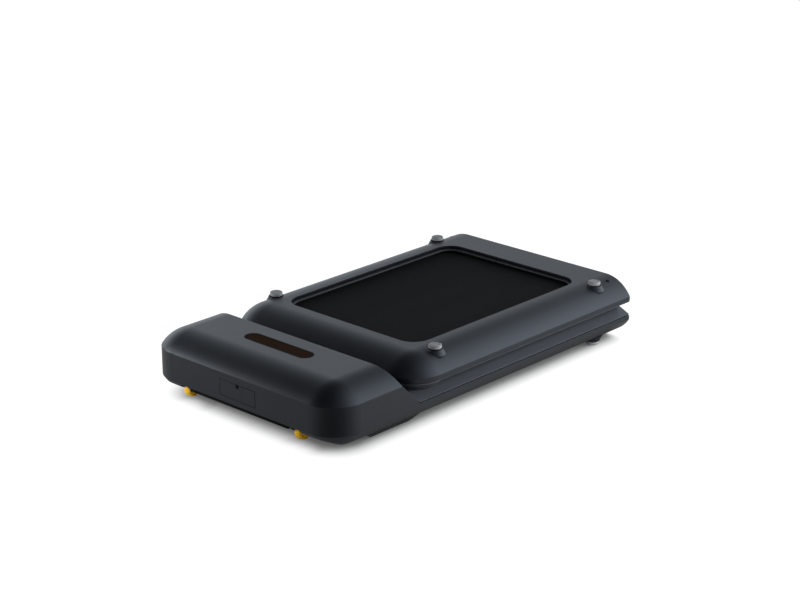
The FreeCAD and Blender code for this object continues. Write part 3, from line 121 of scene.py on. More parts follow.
class Value:
    """A number socket of a shader graph, with the operators that the finishes use."""

    def __init__(self, graph: "Graph", socket: bpy.types.NodeSocket) -> None:
        """Keep the graph and the socket."""
        self.graph = graph
        self.socket = socket

    def __add__(self, other: "Number") -> "Value":
        """Sum."""
        return self.graph.math("ADD", self, other)

    def __radd__(self, other: "Number") -> "Value":
        """Sum with a number on the left."""
        return self.graph.math("ADD", other, self)

    def __sub__(self, other: "Number") -> "Value":
        """Difference."""
        return self.graph.math("SUBTRACT", self, other)

    def __rsub__(self, other: "Number") -> "Value":
        """Difference with a number on the left."""
        return self.graph.math("SUBTRACT", other, self)

    def __mul__(self, other: "Number") -> "Value":
        """Product."""
        return self.graph.math("MULTIPLY", self, other)

    def __rmul__(self, other: "Number") -> "Value":
        """Product with a number on the left."""
        return self.graph.math("MULTIPLY", other, self)

    def __pow__(self, other: "Number") -> "Value":
        """Power."""
        return self.graph.math("POWER", self, other)

    def __gt__(self, other: "Number") -> "Value":
        """One where this is greater, else nought."""
        return self.graph.math("GREATER_THAN", self, other)

    def __lt__(self, other: "Number") -> "Value":
        """One where this is less, else nought."""
        return self.graph.math("LESS_THAN", self, other)

    def __abs__(self) -> "Value":
        """Size without its sign."""
        return self.graph.math("ABSOLUTE", self)


Number = Union[Value, float]


class Graph:
    """Node tree of one material or world, built by expressions."""

    def __init__(self, tree: bpy.types.NodeTree) -> None:
        """Take a tree and empty it."""
        self.tree = tree
        tree.nodes.clear()

    def node(self, kind: str, settings: dict[str, Any] | None = None, **inputs: Any) -> bpy.types.Node:
        """Add any node.

        Args:
            kind: node type without its ShaderNode prefix.
            settings: properties of the node, set before its sockets.
            inputs: values or links for its sockets, named with _ for a space.

        Returns:
            The node.
        """
        made = self.tree.nodes.new("ShaderNode" + kind)
        for name, setting in (settings or {}).items():
            setattr(made, name, setting)
        for name, value in inputs.items():
            self.feed(made, name.replace("_", " "), value)
        return made

    def feed(self, node: bpy.types.Node, name: str, value: Any) -> None:
        """Link or set one enabled socket of a node, found by its name."""
        socket = next(s for s in node.inputs if s.name == name and s.enabled)
        self.plug(socket, value)

    def plug(self, socket: bpy.types.NodeSocket, value: Any) -> None:
        """Link a socket to a Value or another socket, or set its own value.

        Args:
            socket: the input socket.
            value: a Value, a socket, a number or a colour.
        """
        if isinstance(value, Value):
            self.tree.links.new(value.socket, socket)
        elif isinstance(value, bpy.types.NodeSocket):
            self.tree.links.new(value, socket)
        elif socket.type == "RGBA" and len(value) == 3:
            socket.default_value = (*value, 1.0)
        else:
            socket.default_value = value

    def math(self, operation: str, *terms: Number) -> Value:
        """Math node on one to three terms.

        Args:
            operation: the node's operation.
            terms: values or numbers, in the order of its sockets.

        Returns:
            The result.
        """
        made = self.tree.nodes.new("ShaderNodeMath")
        made.operation = operation
        for socket, term in zip(made.inputs, terms):
            self.plug(socket, term)
        return Value(self, made.outputs[0])

    def mix(self, share: Number, first: Any, second: Any) -> bpy.types.NodeSocket:
        """Colour between two colours.

        Args:
            share: nought for the first, one for the second.
            first: a colour or a socket.
            second: a colour or a socket.

        Returns:
            The mixed colour's socket.
        """
        made = self.tree.nodes.new("ShaderNodeMix")
        made.data_type = "RGBA"
        for index, value in ((0, share), (6, first), (7, second)):
            self.plug(made.inputs[index], value)
        return made.outputs[2]

    def step(self, value: Value, low: float, high: float) -> Value:
        """Smooth step from nought at low to one at high."""
        made = self.node("MapRange", {"interpolation_type": "SMOOTHSTEP"}, Value=value, From_Min=low,
                         From_Max=high)
        return Value(self, made.outputs[0])

    def place(self) -> tuple[bpy.types.NodeSocket, Value, Value, Value]:
        """Object coordinates as a vector and as three values, in metres."""
        vector = self.node("TexCoord").outputs["Object"]
        parts = self.node("SeparateXYZ", Vector=vector).outputs
        return vector, Value(self, parts[0]), Value(self, parts[1]), Value(self, parts[2])

    def noise(self, vector: Any, scale: float, detail: float = 3.0, stretch: Point = (1, 1, 1)) -> Value:
        """Noise on a vector, stretched along its axes.

        Args:
            vector: the place.
            scale: waves to the metre.
            detail: octaves.
            stretch: scale of each axis.

        Returns:
            The noise, about a half.
        """
        if stretch != (1, 1, 1):
            vector = self.node("Mapping", None, Vector=vector, Scale=stretch).outputs[0]
        made = self.node("TexNoise", None, Vector=vector, Scale=scale, Detail=detail)
        return Value(self, made.outputs[0])

    def bump(self, height: Value, strength: float, distance: float,
             normal: Any = None) -> bpy.types.NodeSocket:
        """Normal from a height.

        Args:
            height: from nought to one.
            strength: share of the effect.
            distance: height of one, in metres.
            normal: the normal that it starts from.

        Returns:
            The normal's socket.
        """
        made = self.node("Bump", None, Strength=strength, Distance=distance, Height=height)
        if normal is not None:
            self.feed(made, "Normal", normal)
        return made.outputs[0]

    def rounded(self, radius: float) -> bpy.types.NodeSocket:
        """Normal that rounds sharp edges over a radius."""
        return self.node("Bevel", {"samples": 6}, Radius=radius).outputs[0]

    def surface(self, **inputs: Any) -> bpy.types.Node:
        """Principled surface joined to the output.

        Args:
            inputs: values or links for its sockets, named with _ for a space.

        Returns:
            The shader node.
        """
        shader = self.node("BsdfPrincipled", None, **inputs)
        output = self.node("OutputMaterial")
        self.tree.links.new(shader.outputs[0], output.inputs[0])
        return shader


# Finishes

@dataclass(frozen=True)
class Finish:
    """A material with a base colour and a roughness; each kind adds its own detail."""

    slot: Slot
    colour: Colour
    rough: float

    def make(self) -> bpy.types.Material:
        """Make the material.

        Returns:
            The material, named after its slot.
        """
        material = bpy.data.materials.new(self.slot.value)
        material.use_nodes = True
        self.dress(Graph(material.node_tree))
        return material

    def dress(self, graph: Graph) -> None:
        """Build the nodes."""
        raise NotImplementedError

    def shade(self, share: float) -> Colour:
        """The base colour made lighter or darker."""
        return tuple(min(1.0, part * share) for part in self.colour)


@dataclass(frozen=True)
class MouldedPlastic(Finish):
    """Satin moulded plastic with a fine grain, soft mottling and rounded edges, its colour painted lighter
    along sharp edges, partly as wear and partly as a painted highlight.
    """

    grain: float = 0.9 * MM
    depth: float = 0.02 * MM
    specular: float = 0.40
    edge: float = 0.9 * MM
    # Lightness of the sharp edges: partly edge wear, partly a painted highlight.
    edge_wear_and_highlight: float = 1.5
    mottle: float = 9.0

    def dress(self, graph: Graph) -> None:
        """Build the nodes.

        Args:
            graph: the material's graph.
        """
        vector = graph.place()[0]
        cloud = graph.noise(vector, self.mottle, 2.0)
        speck = graph.noise(vector, 1 / self.grain, 2.0)
        normal = graph.rounded(self.edge)
        facing = graph.node("VectorMath", {"operation": "DOT_PRODUCT"})
        graph.plug(facing.inputs[0], normal)
        graph.plug(facing.inputs[1], graph.node("NewGeometry").outputs["Normal"])
        # Edge mask from the rounded normal: sharp edges and creases are painted lighter, partly wear and
        # partly a painted highlight.
        edge = graph.step(Value(graph, facing.outputs["Value"]), 0.995, 0.90)
        body = graph.mix(cloud, self.shade(0.93), self.shade(1.07))
        colour = graph.mix(edge * 0.6, body, self.shade(self.edge_wear_and_highlight))
        rough = (cloud - 0.5) * 0.06 + (speck - 0.5) * 0.10 + self.rough
        graph.surface(
            Base_Color=colour,
            Roughness=rough,
            Specular_IOR_Level=self.specular,
            Specular_Tint=GLOSS_TINT,
            Normal=graph.bump(speck, 0.35, self.depth, normal),
        )


@dataclass(frozen=True)
class RailPlastic(MouldedPlastic):
    """Foot rail plastic: plain on the slope, ribbed for grip on the flat strip."""

    inner: float = 194 * MM
    shoulder: float = 221 * MM
    pitch: float = 3.2 * MM
    rib: float = 0.5 * MM

    def dress(self, graph: Graph) -> None:
        """Build the nodes.

        Args:
            graph: the material's graph.
        """
        vector, x, *_ = graph.place()
        cloud = graph.noise(vector, self.mottle, 2.0)
        speck = graph.noise(vector, 1 / self.grain, 2.0)
        across = abs(x)
        strip = graph.step(across, self.inner + 4 * MM, self.inner + 5 * MM)
        strip = strip * graph.step(across, self.shoulder - 3 * MM, self.shoulder - 4 * MM)
        ribs = graph.math("SINE", across * (2 * math.pi / self.pitch)) * 0.5 + 0.5
        normal = graph.bump(speck, 0.3, self.depth, graph.rounded(self.edge))
        normal = graph.bump(ribs * strip, 0.8, self.rib, normal)
        graph.surface(
            Base_Color=graph.mix(cloud, self.shade(0.92), self.shade(1.08)),
            Roughness=(cloud - 0.5) * 0.08 + strip * 0.12 + self.rough,
            Specular_IOR_Level=self.specular,
            Specular_Tint=GLOSS_TINT,
            Normal=normal,
        )


@dataclass(frozen=True)
class PanelPlastic(MouldedPlastic):
    """Sensor panel: the casing's plastic, with a joint down its face and a dark ring round its eye."""

    joint: float = 13 * MM
    half_width: float = 47.5 * MM
    middle_z: float = 68.5 * MM
    half_height: float = 16.5 * MM
    border: float = 1.9 * MM
    joint_share: float = 0.4
    eye_z: float = 81 * MM
    eye: float = 5.0 * MM
    dull: float = 0.58
    dark: Colour = (0.002, 0.002, 0.002)

    def dress(self, graph: Graph) -> None:
        """Build the nodes.

        Args:
            graph: the material's graph.
        """
        vector, x, _, z = graph.place()
        speck = graph.noise(vector, 1 / self.grain, 2.0)
        line = graph.step(abs(x - self.joint), 1.5 * MM, 0.9 * MM) * self.joint_share
        rim = graph.math("MINIMUM", self.half_width - abs(x), self.half_height - abs(z - self.middle_z))
        line = graph.math("MAXIMUM", line, graph.step(rim, self.border, 0.5 * self.border))
        from_eye = graph.math("SQRT", x ** 2.0 + (z - self.eye_z) ** 2.0)
        ring = graph.step(from_eye, self.eye, self.eye - 0.4 * MM)
        normal = graph.bump(speck, 0.3, self.depth, graph.rounded(self.edge))
        plain = graph.mix(line, self.colour, self.shade(0.05))
        graph.surface(
            Base_Color=graph.mix(ring, plain, self.dark),
            Roughness=graph.math("MAXIMUM", line * 0.7, ring) * self.dull + (speck - 0.5) * 0.1 + self.rough,
            Specular_IOR_Level=self.specular,
            Specular_Tint=GLOSS_TINT,
            Normal=graph.bump(1 - line, 0.8, 0.4 * MM, normal),
        )


@dataclass(frozen=True)
class BeltRubber(Finish):
    """Running belt: black rubber with a fine diamond grip pattern."""

    pitch: float = 2.4 * MM
    grip: float = 0.25 * MM
    grain: float = 700.0
    scuff: float = 14.0
    specular: float = 0.03

    def dress(self, graph: Graph) -> None:
        """Build the nodes.

        Args:
            graph: the material's graph.
        """
        vector, x, y, _ = graph.place()
        turn = math.pi / self.pitch
        weave = abs(graph.math("SINE", (x + y) * turn)) * abs(graph.math("SINE", (x - y) * turn))
        speck = graph.noise(vector, self.grain, 2.0)
        scuff = graph.noise(vector, self.scuff, 5.0, (1.0, 0.15, 1.0))
        height = weave * 0.7 + speck * 0.3
        graph.surface(
            Base_Color=graph.mix(scuff * 0.6 + weave * 0.3, self.shade(0.8), self.shade(1.25)),
            Roughness=(scuff - 0.5) * 0.16 + self.rough,
            Specular_IOR_Level=self.specular,
            Normal=graph.bump(height, 0.5, self.grip),
        )


@dataclass(frozen=True)
class SoftRubber(Finish):
    """Rubber of the feet and the ribbed drive belt, with a dusty mottled skin."""

    edge: float = 0.5 * MM
    specular: float = 0.3
    dust: float = 90.0
    grain: float = 1500.0

    def dress(self, graph: Graph) -> None:
        """Build the nodes.

        Args:
            graph: the material's graph.
        """
        vector = graph.place()[0]
        dust = graph.noise(vector, self.dust, 4.0)
        speck = graph.noise(vector, self.grain, 2.0)
        graph.surface(
            Base_Color=graph.mix(dust, self.shade(0.82), self.shade(1.18)),
            Roughness=(dust - 0.5) * 0.15 + self.rough,
            Specular_IOR_Level=self.specular,
            Normal=graph.bump(speck, 0.4, 0.03 * MM, graph.rounded(self.edge)),
        )


@dataclass(frozen=True)
class SmokedLens(Finish):
    """Display lens: smoked brown window inside a black printed border."""

    length: float = 165 * MM
    width: float = 28 * MM
    centre_y: float = -328.5 * MM
    border: float = 1.0 * MM
    haze: float = 30.0
    ink: Colour = (0.0015, 0.0015, 0.0016)

    def dress(self, graph: Graph) -> None:
        """Build the nodes.

        Args:
            graph: the material's graph.
        """
        vector, x, y, _ = graph.place()
        end = graph.math("MAXIMUM", abs(x) - (self.length - self.width) / 2, 0.0)
        away = graph.math("SQRT", end ** 2.0 + (y - self.centre_y) ** 2.0)
        rim = self.width / 2 - self.border
        border = graph.step(away, rim - 0.3 * MM, rim + 0.3 * MM)
        haze = graph.noise(vector, self.haze, 3.0)
        brown = graph.mix(haze, self.shade(0.75), self.shade(1.25))
        graph.surface(
            Base_Color=graph.mix(border, brown, self.ink),
            Roughness=(haze - 0.5) * 0.06 + border * 0.05 + self.rough,
            Specular_IOR_Level=0.0,
            Normal=graph.rounded(0.4 * MM),
        )


@dataclass(frozen=True)
class TurnedMetal(Finish):
    """Bare metal with turning marks round the X axis."""

    edge: float = 0.4 * MM
    marks: float = 900.0
    stain: float = 25.0

    def dress(self, graph: Graph) -> None:
        """Build the nodes.

        Args:
            graph: the material's graph.
        """
        vector = graph.place()[0]
        marks = graph.noise(vector, self.marks, 2.0, (1.0, 0.02, 0.02))
        stain = graph.noise(vector, self.stain, 4.0)
        graph.surface(
            Base_Color=graph.mix(stain, self.shade(0.85), self.shade(1.1)),
            Metallic=1.0,
            Roughness=(marks - 0.5) * 0.2 + (stain - 0.5) * 0.1 + self.rough,
            Normal=graph.bump(marks, 0.2, 0.02 * MM, graph.rounded(self.edge)),
        )


@dataclass(frozen=True)
class CoatedSteel(Finish):
    """Powder-coated steel with a slight orange peel."""

    edge: float = 0.8 * MM
    peel: float = 420.0
    mottle: float = 12.0

    def dress(self, graph: Graph) -> None:
        """Build the nodes.

        Args:
            graph: the material's graph.
        """
        vector = graph.place()[0]
        peel = graph.noise(vector, self.peel, 2.0)
        cloud = graph.noise(vector, self.mottle, 3.0)
        graph.surface(
            Base_Color=graph.mix(cloud, self.shade(0.85), self.shade(1.15)),
            Roughness=(peel - 0.5) * 0.2 + self.rough,
            Specular_IOR_Level=0.4,
            Normal=graph.bump(peel, 0.3, 0.08 * MM, graph.rounded(self.edge)),
        )


@dataclass(frozen=True)
class WheelPlastic(Finish):
    """Yellow wheel plastic, scuffed on its tread."""

    scuff: float = 160.0
    dirt: float = 0.2

    def dress(self, graph: Graph) -> None:
        """Build the nodes.

        Args:
            graph: the material's graph.
        """
        vector = graph.place()[0]
        scuff = graph.noise(vector, self.scuff, 5.0)
        dirt = graph.step(scuff, 0.70, 0.95)
        graph.surface(
            Base_Color=graph.mix(dirt * self.dirt, self.colour, self.shade(0.5)),
            Roughness=(scuff - 0.5) * 0.12 + self.rough,
            Specular_IOR_Level=0.35,
            Normal=graph.bump(scuff, 0.03, 0.05 * MM),
        )


@dataclass(frozen=True)
class CircuitBoard(Finish):
    """Solder mask with tracks, under dark parts that stand on it."""

    control: tuple[float, float] = (47.8 * MM, 87.8 * MM)
    display: tuple[float, float] = (120.6 * MM, 140.6 * MM)
    tracks: float = 160.0
    dark: Colour = (0.02, 0.02, 0.022)

    def dress(self, graph: Graph) -> None:
        """Build the nodes.

        Args:
            graph: the material's graph.
        """
        vector, *_, z = graph.place()
        tracks = graph.node("TexBrick", None, Vector=vector, Scale=self.tracks, Color1=WHITE,
                            Color2=(0.7, 0.7, 0.7), Mortar=(0, 0, 0), Mortar_Size=0.03)
        track = graph.step(Value(graph, tracks.outputs[1]), 0.3, 0.6)
        spans = [(z > low) * (z < high) for low, high in (self.control, self.display)]
        part = spans[0] + spans[1]
        mask = graph.mix(track * 0.5, self.colour, self.shade(2.2))
        graph.surface(
            Base_Color=graph.mix(part, mask, self.dark),
            Roughness=graph.noise(vector, 80.0) * 0.2 + self.rough,
            Normal=graph.bump(track, 0.3, 0.05 * MM, graph.rounded(0.4 * MM)),
        )


@dataclass(frozen=True)
class FilmedBoard(Finish):
    """Deck board: fibreboard with a dark slip film on its faces and bare edges."""

    bare: Colour = (0.19, 0.11, 0.055)
    fibre: float = 260.0

    def dress(self, graph: Graph) -> None:
        """Build the nodes.

        Args:
            graph: the material's graph.
        """
        vector = graph.place()[0]
        facing = graph.node("SeparateXYZ", Vector=graph.node("NewGeometry").outputs["Normal"]).outputs[2]
        film = graph.step(abs(Value(graph, facing)), 0.75, 0.9)
        fibre = graph.noise(vector, self.fibre, 5.0, (0.25, 0.25, 1.0))
        edge = graph.mix(fibre, tuple(0.7 * part for part in self.bare), self.bare)
        graph.surface(
            Base_Color=graph.mix(film, edge, self.colour),
            Roughness=(1 - film) * 0.35 + fibre * 0.1 + self.rough,
            Normal=graph.bump(fibre, 0.2, 0.1 * MM),
        )


FINISHES: tuple[Finish, ...] = (
    MouldedPlastic(Slot.CASING, (0.0100, 0.0110, 0.0134), 0.40),
    MouldedPlastic(Slot.COVER, (0.0100, 0.0110, 0.0134), 0.39),
    PanelPlastic(Slot.PANEL, (0.0100, 0.0110, 0.0134), 0.42),
    RailPlastic(Slot.RAIL, (0.045, 0.049, 0.056), 0.42),
    SmokedLens(Slot.LENS, (0.0300, 0.0165, 0.0105), 0.30),
    CircuitBoard(Slot.BOARD, (0.008, 0.06, 0.022), 0.35),
    CoatedSteel(Slot.MOTOR, (0.03, 0.03, 0.032), 0.38),
    TurnedMetal(Slot.STEEL, (0.42, 0.42, 0.43), 0.34),
    CoatedSteel(Slot.FRAME, (0.014, 0.014, 0.015), 0.48),
    TurnedMetal(Slot.BEARING, (0.60, 0.60, 0.60), 0.22),
    TurnedMetal(Slot.PULLEY, (0.48, 0.48, 0.49), 0.34),
    TurnedMetal(Slot.SINK, (0.50, 0.51, 0.53), 0.42),
    SoftRubber(Slot.DRIVE_RUBBER, (0.0045, 0.0045, 0.0046), 0.70, specular=0.06),
    BeltRubber(Slot.BELT, (0.0088, 0.0088, 0.0089), 0.75),
    FilmedBoard(Slot.DECK, (0.02, 0.018, 0.017), 0.40),
    SoftRubber(Slot.FOOT, (0.235, 0.24, 0.25), 0.55),
    SoftRubber(Slot.BLOCK, (0.020, 0.021, 0.023), 0.55, specular=0.35),
    WheelPlastic(Slot.WHEEL, (0.98, 0.53, 0.004), 0.45),
    MouldedPlastic(Slot.INLET, (0.010, 0.010, 0.011), 0.36),
)


# Mesh helpers

class Stock:
    """A bmesh in millimetres that becomes a piece in metres, at the origin."""

    def __init__(self) -> None:
        """Start with an empty mesh."""
        self.mesh = bmesh.new()

    def plate(self, width: float, length: float, corner: float, steps: int) -> list[bmesh.types.BMFace]:
        """Flat face in the XY plane, with rounded corners.

        Args:
            width: size along X.
            length: size along Y.
            corner: corner radius.
            steps: segments of each corner.

        Returns:
            The one face.
        """
        made = bmesh.ops.create_grid(self.mesh, x_segments=1, y_segments=1, size=0.5)
        bmesh.ops.scale(self.mesh, vec=(width, length, 1), verts=made["verts"])
        bmesh.ops.bevel(self.mesh, geom=made["verts"], offset=corner, offset_type="OFFSET", segments=steps,
                        profile=0.5, affect="VERTICES", material=-1)
        return list(self.mesh.faces)

    def ring(self, width: float, length: float, corner: float, wall: float, height: float) -> None:
        """Closed ring cut from a rounded plate.

        Args:
            width: outer size along X.
            length: outer size along Y.
            corner: outer corner radius.
            wall: width of the ring.
            height: its height along Z.
        """
        faces = self.plate(width, length, corner, 16)
        bmesh.ops.inset_region(self.mesh, faces=faces, thickness=wall, use_boundary=True,
                               use_even_offset=True)
        inner = max(self.mesh.faces, key=lambda f: f.calc_area())
        bmesh.ops.delete(self.mesh, geom=[inner], context="FACES_ONLY")
        self.raise_faces(self.mesh.faces, height)
        self.tidy()

    def raise_faces(self, faces: Iterable[bmesh.types.BMFace], height: float) -> None:
        """Extrude faces along Z into a closed solid.

        Args:
            faces: flat faces.
            height: how far they are raised.
        """
        made = bmesh.ops.extrude_face_region(self.mesh, geom=list(faces), use_keep_orig=True)["geom"]
        points = [v for v in made if isinstance(v, bmesh.types.BMVert)]
        bmesh.ops.translate(self.mesh, vec=(0, 0, height), verts=points)

    def turn(self, profile: Sequence[tuple[float, float]], steps: int = 48) -> None:
        """Spin a profile once round the Z axis.

        Args:
            profile: pairs of radius and height.
            steps: segments of the turn.
        """
        points = [self.mesh.verts.new((radius, 0, height)) for radius, height in profile]
        edges = [self.mesh.edges.new(pair) for pair in zip(points, points[1:])]
        bmesh.ops.spin(self.mesh, geom=points + edges, cent=(0, 0, 0), axis=(0, 0, 1), dvec=(0, 0, 0),
                       angle=2 * math.pi, steps=steps, use_merge=True, use_duplicate=False)
        self.tidy()

    def tidy(self) -> None:
        """Merge doubles and point the faces outwards."""
        bmesh.ops.remove_doubles(self.mesh, verts=self.mesh.verts, dist=1e-4)
        bmesh.ops.recalc_face_normals(self.mesh, faces=self.mesh.faces)

    def ease(self, radius: float, steps: int, wanted: Callable[[bmesh.types.BMEdge], bool]) -> None:
        """Round the edges that pass a test.

        Args:
            radius: the rounding's size.
            steps: its segments.
            wanted: says whether an edge is rounded.
        """
        edges = [e for e in self.mesh.edges if wanted(e)]
        bmesh.ops.bevel(self.mesh, geom=edges, offset=radius, offset_type="OFFSET", segments=steps,
                        profile=0.5, affect="EDGES", clamp_overlap=True, material=-1)

    def move(self, matrix: Matrix) -> None:
        """Transform the whole mesh."""
        bmesh.ops.transform(self.mesh, matrix=matrix, verts=self.mesh.verts)

    def piece(self, name: str, sharp: float = 35.0) -> bpy.types.Object:
        """Turn the mesh into an object in metres.

        Args:
            name: the piece's name.
            sharp: angle in degrees past which an edge stays sharp.

        Returns:
            The object, linked to the scene.
        """
        self.move(Matrix.Scale(MM, 4))
        for face in self.mesh.faces:
            face.smooth = True
        for edge in self.mesh.edges:
            edge.smooth = len(edge.link_faces) == 2 and edge.calc_face_angle() < math.radians(sharp)
        data = bpy.data.meshes.new(name)
        self.mesh.to_mesh(data)
        self.mesh.free()
        made = bpy.data.objects.new(name, data)
        bpy.context.scene.collection.objects.link(made)
        return made


class Dresser:
    """Gives pieces and CAD nodes their finish and hands pieces to their bodies."""

    def __init__(self, frame: dict[str, Any]) -> None:
        """Make every finish once."""
        self.frame = frame
        self.materials = {finish.slot: finish.make() for finish in FINISHES}

    def nodes(self) -> None:
        """Dress every CAD node with the finish of its slot in the record."""
        for part in self.frame["record"]["subparts"]:
            node = self.frame["nodes"][part["node"]]
            node.data.materials.clear()
            node.data.materials.append(self.materials[Slot(part["material_slot"])])

    def own(self, piece: bpy.types.Object, slot: Slot, body: Body, *replaced: str) -> bpy.types.Object:
        """Finish a new piece, give it to its body and hide the nodes that it stands for.

        Args:
            piece: the new object.
            slot: its finish.
            body: the body it rides on.
            replaced: CAD nodes that it replaces.

        Returns:
            The piece.
        """
        piece.data.materials.append(self.materials[slot])
        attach(piece, body.value)
        if replaced:
            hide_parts(*replaced)
        LOG.info("piece %s, %d faces, finish %s", piece.name, len(piece.data.polygons), slot.value)
        return piece


# Sub-assemblies, sizes in millimetres

def middle(node: str) -> Vector:
    """Centre of a CAD node's box, in millimetres."""
    low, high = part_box(node)
    return (low + high) / (2 * MM)


@dataclass
class RubberFeet:
    """Round feet: a rubber cap with an eased rim and a shallow ring in its sole, on a black neck and washer
    whose black paints the shade in the gap round the cap's foot.
    """

    radius: float = 12.7
    height: float = 12.0
    cap: float = 6.8
    painted_shade_neck: float = 12.4
    rim: float = 4.05
    painted_shade_washer: float = 14.3
    ring: float = 8.6

    def build(self, dresser: Dresser) -> None:
        """Make each foot in place of its CAD node.

        Args:
            dresser: finishes the pieces.
        """
        upper = ("rear_foot_fold_left", "rear_foot_fold_right", "rear_foot_tail_left", "rear_foot_tail_right")
        for node in upper:
            self.foot(dresser, node, Body.REAR, 1)
        for node in ("front_foot_left", "front_foot_right"):
            self.foot(dresser, node, Body.BASE, -1)

    def foot(self, dresser: Dresser, node: str, body: Body, way: int) -> None:
        """Make one foot.

        Args:
            dresser: finishes the pieces.
            node: the CAD node that it replaces.
            body: the body it rides on.
            way: 1 where it points up, -1 where it points down.
        """
        low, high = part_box(node)
        top, r, under = self.height, self.radius, self.height - self.cap
        ring, painted_shade_neck, rim, painted_shade_washer = self.ring, self.painted_shade_neck, self.rim, self.painted_shade_washer
        cap = [(0, under), (r - 0.8, under), (r - 0.2, under + 0.2), (r, under + 0.7), (r, top - 2.4),
               (r - 0.25, top - 1.5), (r - 0.8, top - 0.8), (r - 1.6, top - 0.25), (r - 2.2, top),
               (ring + 0.9, top - 0.1), (ring + 0.6, top - 0.5), (ring, top - 0.7), (ring - 0.6, top - 0.55),
               (ring - 0.9, top - 0.2), (0, top - 0.3)]
        # The stem is in black rubber: its neck and washer paint the shade in the gap round the cap's foot.
        stem = [(0, 0), (painted_shade_neck, 0), (painted_shade_neck, rim), (painted_shade_washer, rim), (painted_shade_washer, rim + 0.3), (painted_shade_washer - 0.3, rim + 0.5),
                (painted_shade_neck - 0.7, rim + 0.6), (painted_shade_neck - 0.7, under), (0, under)]
        seat = low.z / MM if way > 0 else high.z / MM
        centre = middle(node)
        turn = Matrix.Identity(4) if way > 0 else Matrix.Rotation(math.pi, 4, "X")
        for label, profile, slot in (("_cap", cap, Slot.FOOT), ("_neck", stem, Slot.DRIVE_RUBBER)):
            stock = Stock()
            stock.turn(profile)
            stock.move(Matrix.Translation((centre.x, centre.y, seat)) @ turn)
            dresser.own(stock.piece(node + label), slot, body, node)


@dataclass
class TransportWheels:
    """Two small wheels under the head's front edge, with a crowned tread and a dished web."""

    radius: float = 14.0
    width: float = 18.0
    bore: float = 4.03

    def build(self, dresser: Dresser) -> None:
        """Make each wheel in place of its CAD node.

        Args:
            dresser: finishes the pieces.
        """
        half, r, hub = self.width / 2, self.radius, self.bore
        upper = [(hub, half), (hub + 2.6, half), (hub + 3.2, half - 0.5), (hub + 3.6, half - 1.4),
                 (r - 5.2, half - 1.4), (r - 4.8, half - 0.4), (r - 4.2, half), (r - 3.0, half - 0.3),
                 (r - 1.8, half - 1.1), (r - 0.9, half - 2.4), (r - 0.3, half - 4.4), (r, half - 7.0)]
        profile = upper + [(radius, -height) for radius, height in reversed(upper)]
        for node, body in (("wheel_left", Body.WHEEL_LEFT), ("wheel_right", Body.WHEEL_RIGHT)):
            stock = Stock()
            stock.turn(profile + [profile[0]], 64)
            stock.move(Matrix.Translation(middle(node)) @ Matrix.Rotation(math.pi / 2, 4, "Y"))
            dresser.own(stock.piece(node + "_tread"), Slot.WHEEL, body, node)


@dataclass
class WindowLips:
    """Turned-in lips round the openings in the undersides, each with a ledge inside it; the lips are in black
    rubber, which paints the shade on the recess walls.
    """

    width: float = 351.0
    corner: float = 38.0
    wall: float = 2.4
    depth: float = 10.3
    skin: float = 3.0
    rear_flat: float = 127.2
    front_flat: float = 7.2
    rear: tuple[float, float] = (-147.5, 345.5)
    front: tuple[float, float] = (-193.5, 345.5)
    ledge: float = 6.0
    ledge_depth: float = 7.0
    ledge_thick: float = 2.2
    bite: float = 0.6

    def build(self, dresser: Dresser) -> None:
        """Make one lip with its ledge for each half.

        Args:
            dresser: finishes the pieces.
        """
        self.lip(dresser, "rear_window", self.rear, self.rear_flat, -1, Body.REAR)
        self.lip(dresser, "front_window", self.front, self.front_flat, 1, Body.BASE)

    def lip(self, dresser: Dresser, name: str, span: tuple[float, float], flat: float, way: int,
            body: Body) -> None:
        """Make one lip that runs inwards from the casing's skin, and the ledge inside it.

        Args:
            dresser: finishes the pieces.
            name: start of the pieces' names.
            span: ends of the opening along Y.
            flat: level of the casing's flat face.
            way: 1 where inwards is up, -1 where it is down.
            body: the body they ride on.
        """
        length, centre = span[1] - span[0], sum(span) / 2
        # Painted shade: the lip is in black rubber, which darkens the recess wall.
        lip = ("_lip", self.wall, self.wall, self.depth, self.skin, Slot.DRIVE_RUBBER)
        ledge = ("_ledge", self.bite, self.ledge + self.bite, self.ledge_thick, self.ledge_depth, Slot.RAIL)
        for label, out, wall, height, start, slot in (lip, ledge):
            stock = Stock()
            stock.ring(self.width + 2 * out, length + 2 * out, self.corner + out, wall, way * height)
            stock.move(Matrix.Translation((0, centre, flat + way * start)))
            dresser.own(stock.piece(name + label), slot, body)


@dataclass
class BeltBends:
    """The belt's two bends round the fold axis."""

    width: float = 384.0
    thick: float = 2.0
    fold_y: float = 420.5
    fold_z: float = 67.2
    top: float = 2.5
    back: float = 14.0
    flat: float = 0.04
    lift: float = 0.06

    def build(self, dresser: Dresser) -> None:
        """Make both bends in place of their CAD nodes.

        Args:
            dresser: finishes the pieces.
        """
        self.bend(dresser, "belt_fold_top", self.top)
        self.bend(dresser, "belt_fold_return", self.back)

    def bend(self, dresser: Dresser, node: str, radius: float) -> None:
        """Spin a strip half a turn about the fold axis.

        Args:
            dresser: finishes the piece.
            node: the CAD node that it replaces.
            radius: radius of the bend's middle.
        """
        stock = Stock()
        made = bmesh.ops.create_grid(stock.mesh, x_segments=8, y_segments=1, size=0.5)
        bmesh.ops.scale(stock.mesh, vec=(self.width, self.thick, 1), verts=made["verts"])
        upright = Matrix.Rotation(math.pi / 2, 4, "X")
        stock.move(Matrix.Translation((0, self.fold_y, self.fold_z - radius)) @ upright)
        bmesh.ops.spin(stock.mesh, geom=list(stock.mesh.faces), cent=(0, self.fold_y, self.fold_z),
                       axis=(1, 0, 0), dvec=(0, 0, 0), angle=math.pi, steps=24, use_merge=False,
                       use_duplicate=False)
        stock.tidy()
        piece = dresser.own(stock.piece(node + "_band"), Slot.BELT, Body.BASE, node)
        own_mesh(piece)


